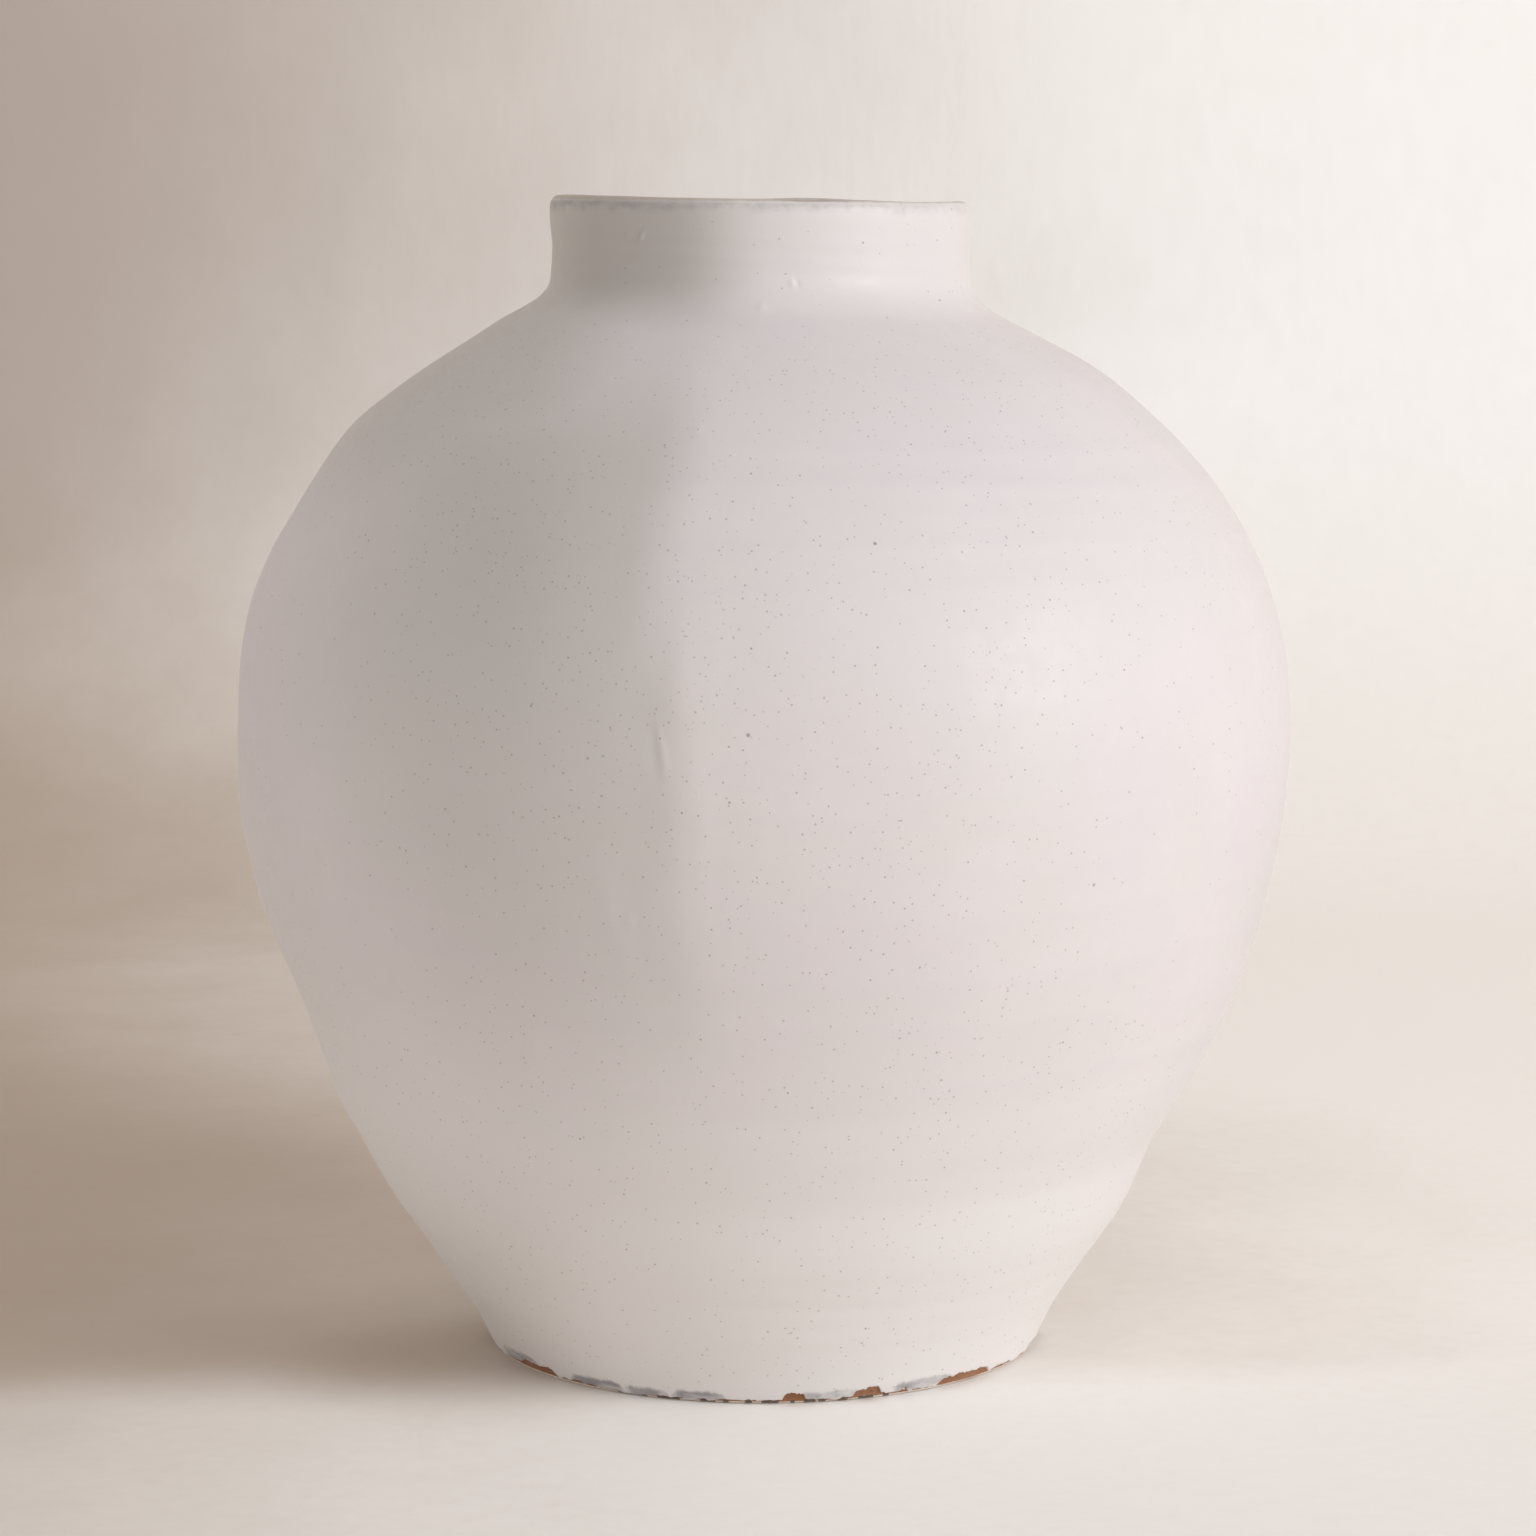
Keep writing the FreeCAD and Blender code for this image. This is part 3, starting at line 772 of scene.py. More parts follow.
class Board:
    """A node tree while it is laid out: adds nodes and sets or links their inputs."""

    def __init__(self, tree: bpy.types.NodeTree) -> None:
        """Keeps the tree."""
        self.tree = tree

    def add(self, kind: str, inputs: dict | None = None, **settings: object) -> bpy.types.Node:
        """Adds a node.

        Args:
            kind: The node's type name without its ShaderNode start.
            inputs: Values or output sockets by the input's name or number.
            settings: The node's own properties.

        Returns:
            The new node.
        """
        node = self.tree.nodes.new(kind if kind.startswith("NodeGroup") else f"ShaderNode{kind}")
        for key, value in settings.items():
            setattr(node, key, value)
        for key, value in (inputs or {}).items():
            if isinstance(value, bpy.types.NodeSocket):
                self.tree.links.new(value, node.inputs[key])
            else:
                node.inputs[key].default_value = value
        return node

    def math(self, operation: str, first: object, second: object = 0.0) -> object:
        """Adds a math node and gives its output."""
        return self.add("Math", {0: first, 1: second}, operation=operation).outputs[0]

    def span(self, value: object, low: object, high: object, start: float = 0.0, end: float = 1.0) -> object:
        """Adds a smooth map of a value from low..high to start..end.

        Args:
            value: The value's socket.
            low: The value that gives the start.
            high: The value that gives the end.
            start: Result at and below low.
            end: Result at and above high.

        Returns:
            The output socket.
        """
        node = self.add("MapRange", {"Value": value, "From Min": low, "From Max": high,
                                     "To Min": start, "To Max": end}, interpolation_type="SMOOTHSTEP")
        return node.outputs["Result"]

    def blend(self, share: object, first: object, second: object) -> object:
        """Adds a mix of two colours: first plus share times second less first.

        Args:
            share: The second colour's share.
            first: A colour or its socket.
            second: A colour or its socket.

        Returns:
            The output socket.
        """
        node = self.add("Mix", {0: share, 6: first, 7: second}, data_type="RGBA", clamp_factor=True)
        return node.outputs[2]

    def noise(self, vector: object, scale: object, detail: float = 3.0, roughness: float = 0.55) -> object:
        """Adds a noise texture.

        Args:
            vector: The place's socket.
            scale: Waves to a metre.
            detail: How many finer layers lie on it.
            roughness: Strength of each layer against the one before.

        Returns:
            The socket of its value, around one half.
        """
        node = self.add("TexNoise", {"Vector": vector, "Scale": scale, "Detail": detail,
                                     "Roughness": roughness})
        return node.outputs["Fac"]

    def stretch(self, vector: object, scale: tuple[float, float, float],
                shift: tuple[float, float, float] = (0.0, 0.0, 0.0)) -> object:
        """Adds a mapping that stretches and then moves a pattern and gives its output."""
        return self.add("Mapping", {"Vector": vector, "Scale": scale, "Location": shift}).outputs[0]

    def turned(self, vector: object, seed: float) -> object:
        """Turns and moves a pattern so that its cells don't line up with the axes.

        Args:
            vector: The place's socket.
            seed: A number of the pattern's own.

        Returns:
            The output socket.
        """
        turn = (0.61 + 0.01 * seed, 0.93 - 0.013 * seed, 0.37 + 0.007 * seed)
        node = self.add("Mapping", {"Vector": vector, "Rotation": turn, "Location": (seed, 0.5 * seed, 0.0)})
        return node.outputs[0]

    def fall(self, value: object, low: object, high: object) -> object:
        """Adds a smooth map that is one below low and nought above high, and gives its output."""
        return self.span(value, low, high, 1.0, 0.0)

    def link(self, value: object, node: bpy.types.Node, key: str) -> None:
        """Links a socket into a node's input."""
        self.tree.links.new(value, node.inputs[key])

    def axes(self, vector: object) -> tuple[object, object, object]:
        """Splits a vector and gives its three sockets."""
        return tuple(self.add("SeparateXYZ", {"Vector": vector}).outputs)

    def plus(self, first: object, second: object) -> object:
        """Adds a sum and gives its output."""
        return self.math("ADD", first, second)

    def times(self, first: object, second: object) -> object:
        """Adds a product and gives its output."""
        return self.math("MULTIPLY", first, second)

    def frayed(self, value: object, breakup: object, amount: float) -> object:
        """Breaks a value up by a noise around one half: value plus amount times noise less a half."""
        return self.math("ADD", value, self.times(self.math("SUBTRACT", breakup, 0.5), amount))

    def distance(self, vector: object, spot: Spot) -> object:
        """Adds the distance from a spot and gives its output."""
        return self.add("VectorMath", {0: vector, 1: spot}, operation="DISTANCE").outputs["Value"]

    def place(self) -> object:
        """Gives the piece's own coordinates in metres."""
        return self.add("TexCoord").outputs["Object"]

    def attribute(self, name: str) -> object:
        """Gives a number stored on the piece's points."""
        return self.add("Attribute", attribute_name=name, attribute_type="GEOMETRY").outputs["Fac"]


def new_group(name: str, inputs: dict[str, object], outputs: tuple[str, ...]
              ) -> tuple[Board, bpy.types.Node, bpy.types.Node]:
    """Starts a node group.

    Args:
        name: The group's name.
        inputs: Default value by input name; "Vector" inputs have None.
        outputs: Names of the outputs, all plain numbers.

    Returns:
        The group's board, its input node and its output node.
    """
    tree = bpy.data.node_groups.new(name, "ShaderNodeTree")
    for label, value in inputs.items():
        kind = "NodeSocketVector" if value is None else "NodeSocketFloat"
        socket = tree.interface.new_socket(name=label, in_out="INPUT", socket_type=kind)
        if value is not None:
            socket.default_value = value
    for label in outputs:
        tree.interface.new_socket(name=label, in_out="OUTPUT", socket_type="NodeSocketFloat")
    board = Board(tree)
    return board, board.add("NodeGroupInput"), board.add("NodeGroupOutput")


class Effects:
    """The node groups that several finishes share."""

    def __init__(self) -> None:
        """Builds each group once."""
        self.specks = self._specks()
        self.mottle = self._mottle()
        self.skin = self._skin()
        self.grit = self._grit()

    @staticmethod
    def _specks() -> bpy.types.NodeTree:
        """Builds round spots where the points of a cell pattern lie near the surface.

        A spot fades from the core to its radius, and only the given share of the cells keeps one.

        Returns:
            The group, which puts out a mask.
        """
        board, given, result = new_group(
            "iron specks", {"Vector": None, "Scale": 200.0, "Radius": 0.0006, "Share": 0.5}, ("Mask",))
        cells = board.add("TexVoronoi", {"Vector": given.outputs["Vector"], "Scale": given.outputs["Scale"]})
        parts = board.add("SeparateColor", {"Color": cells.outputs["Color"]})
        size = board.span(parts.outputs["Red"], 0.0, 1.0, 0.55, 1.15)
        radius = board.times(given.outputs["Radius"], given.outputs["Scale"])
        radius = board.times(radius, size)
        core = board.times(radius, 0.45)
        spot = board.fall(cells.outputs["Distance"], core, radius)
        kept = board.math("LESS_THAN", parts.outputs["Green"], given.outputs["Share"])
        board.link(board.times(spot, kept), result, "Mask")
        return board.tree

    @staticmethod
    def _mottle() -> bpy.types.NodeTree:
        """Builds slow and quick drifts of tone, as in a glaze of uneven thickness.

        Returns:
            The group, which puts out a broad and a fine mask.
        """
        board, given, result = new_group(
            "glaze drift", {"Vector": None, "Broad Scale": 9.0, "Fine Scale": 160.0}, ("Broad", "Fine"))
        broad = board.noise(given.outputs["Vector"], given.outputs["Broad Scale"], 4.0, 0.6)
        fine = board.noise(given.outputs["Vector"], given.outputs["Fine Scale"], 3.0, 0.6)
        board.link(board.span(broad, 0.36, 0.64), result, "Broad")
        board.link(board.span(fine, 0.3, 0.7), result, "Fine")
        return board.tree

    @staticmethod
    def _skin() -> bpy.types.NodeTree:
        """Builds the low relief of a fired skin: soft waves, finer ripple and small pits.

        Returns:
            The group, which puts out a height.
        """
        board, given, result = new_group(
            "fired skin", {"Vector": None, "Wave Scale": 45.0, "Ripple Scale": 260.0, "Pits": 0.5},
            ("Height",))
        vector = given.outputs["Vector"]
        wave = board.noise(board.stretch(vector, (1.0, 1.0, 1.7)), given.outputs["Wave Scale"], 2.0, 0.5)
        ripple = board.noise(vector, given.outputs["Ripple Scale"], 2.0, 0.5)
        cells = board.add("TexVoronoi", {"Vector": vector, "Scale": 210.0})
        pit = board.fall(cells.outputs["Distance"], 0.0, 0.16)
        pit = board.times(pit, given.outputs["Pits"])
        total = board.plus(wave, board.times(ripple, 0.16))
        total = board.math("SUBTRACT", total, board.times(pit, 0.12))
        board.link(total, result, "Height")
        return board.tree

    @staticmethod
    def _grit() -> bpy.types.NodeTree:
        """Builds the grain of fired clay: fine grain, and coarser grit that stands out.

        Returns:
            The group, which puts out a height and a mask of the dark parts.
        """
        board, given, result = new_group(
            "clay grain", {"Vector": None, "Grain Scale": 900.0, "Grit Scale": 420.0}, ("Height", "Dark"))
        vector = given.outputs["Vector"]
        grain = board.noise(vector, given.outputs["Grain Scale"], 3.0, 0.65)
        cells = board.add("TexVoronoi", {"Vector": vector, "Scale": given.outputs["Grit Scale"]})
        stone = board.fall(cells.outputs["Distance"], 0.1, 0.38)
        height = board.plus(grain, board.times(stone, 0.8))
        drift = board.noise(vector, board.times(given.outputs["Grit Scale"], 0.12), 3.0, 0.6)
        dark = board.times(board.span(drift, 0.35, 0.7), board.span(grain, 0.3, 0.75))
        board.link(height, result, "Height")
        board.link(dark, result, "Dark")
        return board.tree

    @staticmethod
    def put(board: Board, group: bpy.types.NodeTree, inputs: dict) -> bpy.types.Node:
        """Places a group in a material with its own values and gives its node."""
        return board.add("Group", inputs, node_tree=group)


def start_material(name: str) -> tuple[bpy.types.Material, Board, bpy.types.Node]:
    """Starts a material with an empty board and its surface shader.

    Args:
        name: The finish's name.

    Returns:
        The material, its board and its shader node.
    """
    material = bpy.data.materials.new(name)
    material.use_nodes = True
    material.node_tree.nodes.clear()
    board = Board(material.node_tree)
    shader = board.add("BsdfPrincipled")
    board.add("OutputMaterial", {"Surface": shader.outputs["BSDF"]})
    return material, board, shader


def finish_shader(board: Board, shader: bpy.types.Node, colour: object, roughness: object,
                  height: object, bump_strength: float, bump_distance: float) -> None:
    """Links colour, roughness and relief into the shader.

    Args:
        board: The material's board.
        shader: Its surface shader.
        colour: The colour's socket.
        roughness: The roughness' socket.
        height: The relief's socket.
        bump_strength: Share of the relief that shows.
        bump_distance: Height of the relief in metres.
    """
    bump = board.add("Bump", {"Height": height, "Strength": bump_strength, "Distance": bump_distance})
    for key, value in (("Base Color", colour), ("Roughness", roughness), ("Normal", bump.outputs["Normal"])):
        board.link(value, shader, key)


# The largest iron specks at the front, in metres
LARGE_SPECKS: tuple[Spot, ...] = ((0.0390, -0.1782, 0.3310), (0.1182, -0.1659, 0.2075),
                                  (-0.0055, -0.2054, 0.2665))


@dataclass(frozen=True)
class WhiteGlaze:
    """The soft, semi-matt milk white glaze outside, with iron specks."""

    name: str = "milk white glaze"
    white: Colour = (0.800, 0.766, 0.788, 1.0)
    lilac: Colour = (0.742, 0.706, 0.750, 1.0)
    green_grey: Colour = (0.746, 0.738, 0.725, 1.0)
    # The grey is painted shade on the front left, the left shoulder and the foot's left
    painted_shade: Colour = (0.580, 0.562, 0.550, 1.0)
    low_white: Colour = (0.868, 0.862, 0.875, 1.0)
    iron: Colour = (0.235, 0.190, 0.175, 1.0)
    blue_grey: Colour = (0.290, 0.285, 0.320, 1.0)
    # Brown for thin glaze at the lip's top and the chips' edges; inside the lip it is painted shade
    thin: Colour = (0.500, 0.430, 0.370, 1.0)
    # A darker colour for painted shade at the neck's left
    painted_neck_shade: Colour = (0.440, 0.420, 0.395, 1.0)
    # Bounds in metres, most of them of painted shade; the low band turns whiter
    front_shade_left: Span = (-0.190, -0.080)
    front_shade_right: Span = (-0.041, -0.015)
    front_shade_bottom: Span = (0.10, 0.24)
    front_shade_top: Span = (0.355, 0.405)
    shoulder_shade_right: Span = (-0.088, -0.030)
    shoulder_shade_level: Span = (0.31, 0.39)
    low_white_level: Span = (0.04, 0.19)
    foot_painted_shade_side: Span = (-0.110, -0.050)
    foot_painted_shade_level: Span = (0.015, 0.125)
    neck_level: Span = (0.400, 0.420)
    neck_shade_left: Span = (-0.085, -0.062)
    neck_shade_right: Span = (-0.036, 0.004)
    neck_shade_front: Span = (-0.02, 0.02)
    foot_shade_front: Span = (-0.03, 0.03)
    shade_strength_level: Span = (0.24, 0.33)

    def build(self, effects: Effects) -> bpy.types.Material:
        """Builds the material.

        The white drifts to lilac and to a green grey. The rings' ridges and the lip's top show a
        thinner glaze, and the hem a thicker, blue grey one. Painted shade lies on the front left, at the
        left of the neck and of the foot, and inside the lip. Specks lie densest at the front.

        Args:
            effects: The shared node groups.

        Returns:
            The material.
        """
        material, board, shader = start_material(self.name)
        place = board.place()
        drift = effects.put(board, effects.mottle, {"Vector": place})
        other = effects.put(board, effects.mottle, {
            "Vector": board.stretch(place, (1.0, 1.0, 1.0), (0.37, 0.11, 0.71)),
            "Broad Scale": 14.0, "Fine Scale": 340.0})
        colour = board.blend(board.times(drift.outputs["Broad"], 0.50), self.white, self.lilac)
        colour = board.blend(board.times(other.outputs["Broad"], 0.42), colour, self.green_grey)
        fine = board.times(drift.outputs["Fine"], other.outputs["Fine"])
        colour = board.blend(board.times(fine, 0.22), colour, self.lilac)
        ridge = board.span(board.attribute("ring_ridge"), 0.0, 0.12)
        colour = board.blend(board.times(ridge, 0.22), colour, self.lilac)
        colour = self._paint_shade(board, place, colour)
        colour = self._edges(board, place, colour)
        colour = self._specks(board, effects, place, colour)
        skin = effects.put(board, effects.skin, {"Vector": place, "Pits": 0.6})
        gloss = board.times(board.attribute("glossy"), -0.12)
        calm = board.span(board.attribute("glossy"), 0.0, 0.6, 1.0, 0.12)
        relief = board.times(skin.outputs["Height"], calm)
        roughness = board.plus(board.span(drift.outputs["Fine"], 0.0, 1.0, 0.43, 0.53), gloss)
        shader.inputs["Specular IOR Level"].default_value = 0.42
        finish_shader(board, shader, colour, roughness, relief, 0.30, 0.0006)
        return material

    def _paint_shade(self, board: Board, place: object, colour: object) -> object:
        """Lays painted shade on the front left and makes the lower part whiter.

        The painted shade lies left of the middle, on the left shoulder, at the left of the neck and at
        the left of the foot. It is weaker lower down, and the glaze turns whiter towards the bottom.

        Args:
            board: The material's board.
            place: The place's socket.
            colour: The colour so far.

        Returns:
            The colour's socket, with its painted shade.
        """
        x, y, z = board.axes(place)
        # Painted shade left of the middle, fading in low down and easing off towards the neck
        across = board.frayed(x, board.noise(place, 6.5, 3.0, 0.55), 0.05)
        left = board.times(board.span(across, *self.front_shade_left),
                           board.fall(across, *self.front_shade_right))
        height = board.times(board.span(z, *self.front_shade_bottom), board.span(z, *self.front_shade_top, 1.0, 0.30))
        front_shade = board.times(left, height)
        # Painted shade on the left shoulder and up the neck's left
        shoulder_shade = board.times(board.fall(across, *self.shoulder_shade_right),
                               board.span(z, *self.shoulder_shade_level))
        front_shade = board.math("MAXIMUM", front_shade, shoulder_shade)
        # The painted shade is stronger higher up
        dense = board.span(z, *self.shade_strength_level, 0.54, 0.86)
        colour = board.blend(board.times(front_shade, dense), colour, self.painted_shade)
        # Whiter towards the bottom
        run = board.times(board.fall(z, *self.low_white_level), 0.92)
        colour = board.blend(run, colour, self.low_white)
        # Painted contact shade low at the left of the foot, on the front half
        foot = board.times(board.span(x, *self.foot_painted_shade_side, 0.62, 0.0),
                           board.fall(z, *self.foot_painted_shade_level))
        foot = board.times(foot, board.fall(y, *self.foot_shade_front))
        colour = board.blend(foot, colour, self.painted_shade)
        neck = board.span(z, *self.neck_level)
        colour = board.blend(board.times(neck, 0.4), colour, self.green_grey)
        # Painted shade at the neck's left, on the front half
        painted_neck_shade = board.times(board.span(x, *self.neck_shade_left, 0.35, 1.0),
                           board.span(x, *self.neck_shade_right, 0.58, 0.0))
        painted_neck_shade = board.times(painted_neck_shade, board.fall(y, *self.neck_shade_front))
        return board.blend(board.times(painted_neck_shade, neck), colour, self.painted_neck_shade)

    def _edges(self, board: Board, place: object, colour: object) -> object:
        """Tints the pools at the hem and under the lip blue grey, browns the thin glaze at the lip's top and
        at the chips' edges, and lays the same brown as painted shade inside the lip.

        Args:
            board: The material's board.
            place: The place's socket.
            colour: The colour so far.

        Returns:
            The tinted colour's socket.
        """
        breakup = board.noise(place, 210.0, 3.0, 0.6)
        pooled = board.frayed(board.attribute("pooled"), breakup, 0.6)
        streaks = board.noise(board.stretch(place, (1.0, 1.0, 4.0)), 85.0, 3.0, 0.6)
        streaks = board.span(streaks, 0.34, 0.62, 0.42, 0.92)
        pooled = board.times(board.span(pooled, 0.12, 1.00), streaks)
        colour = board.blend(pooled, colour, self.blue_grey)
        # Thin glaze at the lip's top and the chips' edges, and painted shade inside the lip
        thin_edge_and_shade = board.frayed(board.attribute("thin_edge_and_lip_shade"), breakup, 0.8)
        return board.blend(board.times(board.span(thin_edge_and_shade, 0.35, 0.95), 0.7), colour, self.thin)

    def _specks(self, board: Board, effects: Effects, place: object, colour: object) -> object:
        """Adds fine, middling and rare larger iron specks, densest at the front and fewest on the neck.

        Args:
            board: The material's board.
            effects: The shared node groups.
            place: The place's socket.
            colour: The colour so far.

        Returns:
            The specked colour's socket.
        """
        x, y, z = board.axes(place)
        near_middle = board.fall(board.math("ABSOLUTE", board.plus(x, 0.012)), 0.075, 0.150)
        front = board.times(near_middle, board.fall(y, -0.06, -0.01))
        high = board.span(z, 0.05, 0.34, 0.45, 1.0)
        high = board.times(high, board.span(z, 0.385, 0.410, 1.0, 0.25))
        patchy = board.span(board.noise(place, 7.0, 2.0, 0.5), 0.35, 0.65, 0.14, 0.48)
        share = board.plus(patchy, board.times(board.times(front, high), 0.50))
        share = board.times(share, board.span(z, 0.395, 0.415, 1.0, 0.4))
        for scale, radius, amount, strength in ((390.0, 0.00047, share, 0.50),
                                                (190.0, 0.00052, board.times(share, 0.6), 0.62),
                                                (44.0, 0.00070, 0.24, 0.70)):
            spots = effects.put(board, effects.specks, {
                "Vector": board.turned(place, scale), "Scale": scale, "Radius": radius, "Share": amount})
            colour = board.blend(board.times(spots.outputs["Mask"], strength), colour, self.iron)
        for spot in LARGE_SPECKS:
            speck = board.span(board.distance(place, spot), 0.0003, 0.0010, 0.72, 0.0)
            colour = board.blend(speck, colour, self.iron)
        return colour


@dataclass(frozen=True)
class InnerGlaze:
    """The thinner glaze inside the jar and under its floor."""

    name: str
    white: Colour
    grey: Colour
    wave_scale: float = 30.0
    iron: Colour = (0.27, 0.21, 0.18, 1.0)

    def build(self, effects: Effects) -> bpy.types.Material:
        """Builds the material.

        Args:
            effects: The shared node groups.

        Returns:
            The material.
        """
        material, board, shader = start_material(self.name)
        place = board.place()
        drift = effects.put(board, effects.mottle,
                            {"Vector": place, "Broad Scale": 16.0, "Fine Scale": 220.0})
        colour = board.blend(board.times(drift.outputs["Broad"], 0.6), self.white, self.grey)
        colour = board.blend(board.times(drift.outputs["Fine"], 0.25), colour, self.grey)
        groove = board.span(board.attribute("ring_ridge"), 0.0, 0.35)
        colour = board.blend(board.times(groove, 0.35), colour, self.grey)
        spots = effects.put(board, effects.specks, {"Vector": place, "Scale": 170.0, "Radius": 0.0006,
                                                    "Share": 0.4})
        colour = board.blend(board.times(spots.outputs["Mask"], 0.7), colour, self.iron)
        skin = effects.put(board, effects.skin, {"Vector": place, "Wave Scale": self.wave_scale, "Pits": 1.0})
        roughness = board.span(drift.outputs["Fine"], 0.0, 1.0, 0.42, 0.58)
        finish_shader(board, shader, colour, roughness, skin.outputs["Height"], 0.6, 0.0009)
        return material


@dataclass(frozen=True)
class FiredClay:
    """Unglazed fired clay, with grain, grit and a drift of tone."""

    name: str
    light: Colour
    dark: Colour
    grain_scale: float = 900.0
    grit_scale: float = 420.0
    relief: float = 0.0004

    def build(self, effects: Effects) -> bpy.types.Material:
        """Builds the material.

        Args:
            effects: The shared node groups.

        Returns:
            The material.
        """
        material, board, shader = start_material(self.name)
        place = board.place()
        grit = effects.put(board, effects.grit, {"Vector": place, "Grain Scale": self.grain_scale,
                                                 "Grit Scale": self.grit_scale})
        colour = board.blend(grit.outputs["Dark"], self.light, self.dark)
        colour = board.blend(board.span(board.noise(place, 35.0), 0.4, 0.7, 0.0, 0.4), colour, self.dark)
        roughness = board.span(grit.outputs["Dark"], 0.0, 1.0, 0.78, 0.92)
        finish_shader(board, shader, colour, roughness, grit.outputs["Height"], 0.7, self.relief)
        return material


@dataclass(frozen=True)
class FootClay:
    """The bare foot ring: burnt brown where glaze chipped off, rubbed pale where it stands."""

    name: str = "bare foot clay"
    burnt: Colour = (0.305, 0.135, 0.068, 1.0)
    toasted: Colour = (0.390, 0.225, 0.140, 1.0)
    rubbed: Colour = (0.860, 0.800, 0.730, 1.0)
    # Near black, for dashes along the ring's lower edge at the front
    dark_dash: Colour = (0.115, 0.085, 0.070, 1.0)

    def build(self, effects: Effects) -> bpy.types.Material:
        """Builds the material.

        Args:
            effects: The shared node groups.

        Returns:
            The material.
        """
        material, board, shader = start_material(self.name)
        place = board.place()
        grit = effects.put(board, effects.grit, {"Vector": place})
        clay = board.blend(board.times(grit.outputs["Dark"], 0.8), self.burnt, self.toasted)
        breakup = board.noise(place, 260.0, 4.0, 0.65)
        rub = board.frayed(board.attribute("rubbed"), breakup, 0.9)
        colour = board.blend(board.span(rub, 0.35, 0.75), clay, self.rubbed)
        toast = board.times(board.span(board.noise(place, 48.0, 3.0, 0.6), 0.46, 0.70), 0.45)
        colour = board.blend(toast, colour, self.toasted)
        dark_dash = board.frayed(board.attribute("dark_dash"), breakup, 0.5)
        colour = board.blend(board.span(dark_dash, 0.4, 0.7, 0.0, 0.9), colour, self.dark_dash)
        roughness = board.span(grit.outputs["Dark"], 0.0, 1.0, 0.72, 0.9)
        finish_shader(board, shader, colour, roughness, grit.outputs["Height"], 0.7, 0.0004)
        return material


# ----------------------------------------------------------------------------------------- Pieces


class Slot(Enum):
    """The record's finishes that match the new pieces; nothing here uses them."""

    WHITE_GLAZE = "white_glaze"
    INNER_GLAZE = "inner_glaze"
    BARE_CLAY = "bare_clay"


def settle(piece: bpy.types.Object, material: bpy.types.Material, node: str) -> None:
    """Finishes a new piece: its material, its body and the solid it stands for.

    Args:
        piece: The new piece.
        material: Its finish.
        node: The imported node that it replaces.
    """
    piece.data.materials.append(material)
    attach(piece, BODY)
    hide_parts(node)
    log.info("%s: %d faces for %s", piece.name, len(piece.data.polygons), node)


HEM_GIRTH = 111.0
MARK_POWER = 7.0


@dataclass(frozen=True)
class FootMark:
    """A mark on the glaze's hem: its ends round the turn in degrees, its levels in millimetres."""

    start: float
    end: float
    low: float
    high: float
    strength: float = 1.0

    def mask(self, turn: np.ndarray, level: np.ndarray, fray: np.ndarray, soft: float,
             ends: float = 1.0) -> np.ndarray:
        """Gives 1 inside the mark and 0 outside, with a frayed outline.

        The distance to the mark's outline, in millimetres, and the fray decide. The mark's top
        is its height times one less the seventh power of the way to its ends.

        Args:
            turn: Angles in radians.
            level: Heights in millimetres.
            fray: How far the outline moves in, in millimetres.
            soft: Half the width of the outline's fade, in millimetres.
            ends: How many times softer both ends are.

        Returns:
            The mask.
        """
        middle, half = math.radians((self.start + self.end) / 2), math.radians((self.end - self.start) / 2)
        away = np.abs(np.angle(np.exp(1j * (turn - middle))))
        share = np.clip(away / half, 0.0, 1.0)
        top = self.low + (self.high - self.low) * (1.0 - share ** MARK_POWER)
        inside = np.minimum((half - away) * HEM_GIRTH / ends, np.minimum(top - level, level - self.low))
        return self.strength * smooth_step(inside - fray, -soft, soft)


# Where the glaze is chipped off the foot's edge: the seen ones, then some round the back
CHIPS = (
    FootMark(-150.5, -136.0, 0.0, 4.0), FootMark(-86.6, -81.6, 0.0, 4.4), FootMark(-72.2, -65.9, 0.8, 4.8),
    FootMark(-53.2, -37.0, 0.0, 4.1), FootMark(-61.4, -60.0, 1.4, 3.5),
    FootMark(-8.0, -3.5, 0.0, 3.6), FootMark(34.0, 45.0, 0.0, 3.0), FootMark(81.0, 84.0, 0.0, 4.2),
    FootMark(101.0, 109.0, 0.0, 3.4), FootMark(152.0, 158.0, 0.0, 4.0), FootMark(-176.0, -168.0, 0.0, 2.8),
)

# Where the glaze gathered thick and blue grey above the foot's edge
POOLS = (
    FootMark(-158.0, -141.0, 1.0, 7.4), FootMark(-133.0, -118.5, 0.0, 5.6),
    FootMark(-119.5, -108.8, -0.5, 5.0, 0.8), FootMark(-109.0, -97.0, 0.0, 5.4),
    FootMark(-85.0, -67.0, 0.6, 5.8, 0.62), FootMark(-64.5, -48.0, 0.8, 6.4, 0.78),
    FootMark(-20.0, -12.0, 1.5, 5.0), FootMark(12.0, 28.0, 1.2, 5.4, 0.8), FootMark(60.0, 72.0, 1.2, 5.0),
    FootMark(118.0, 136.0, 1.4, 5.6, 0.8), FootMark(160.0, 171.0, 1.2, 5.0),
)


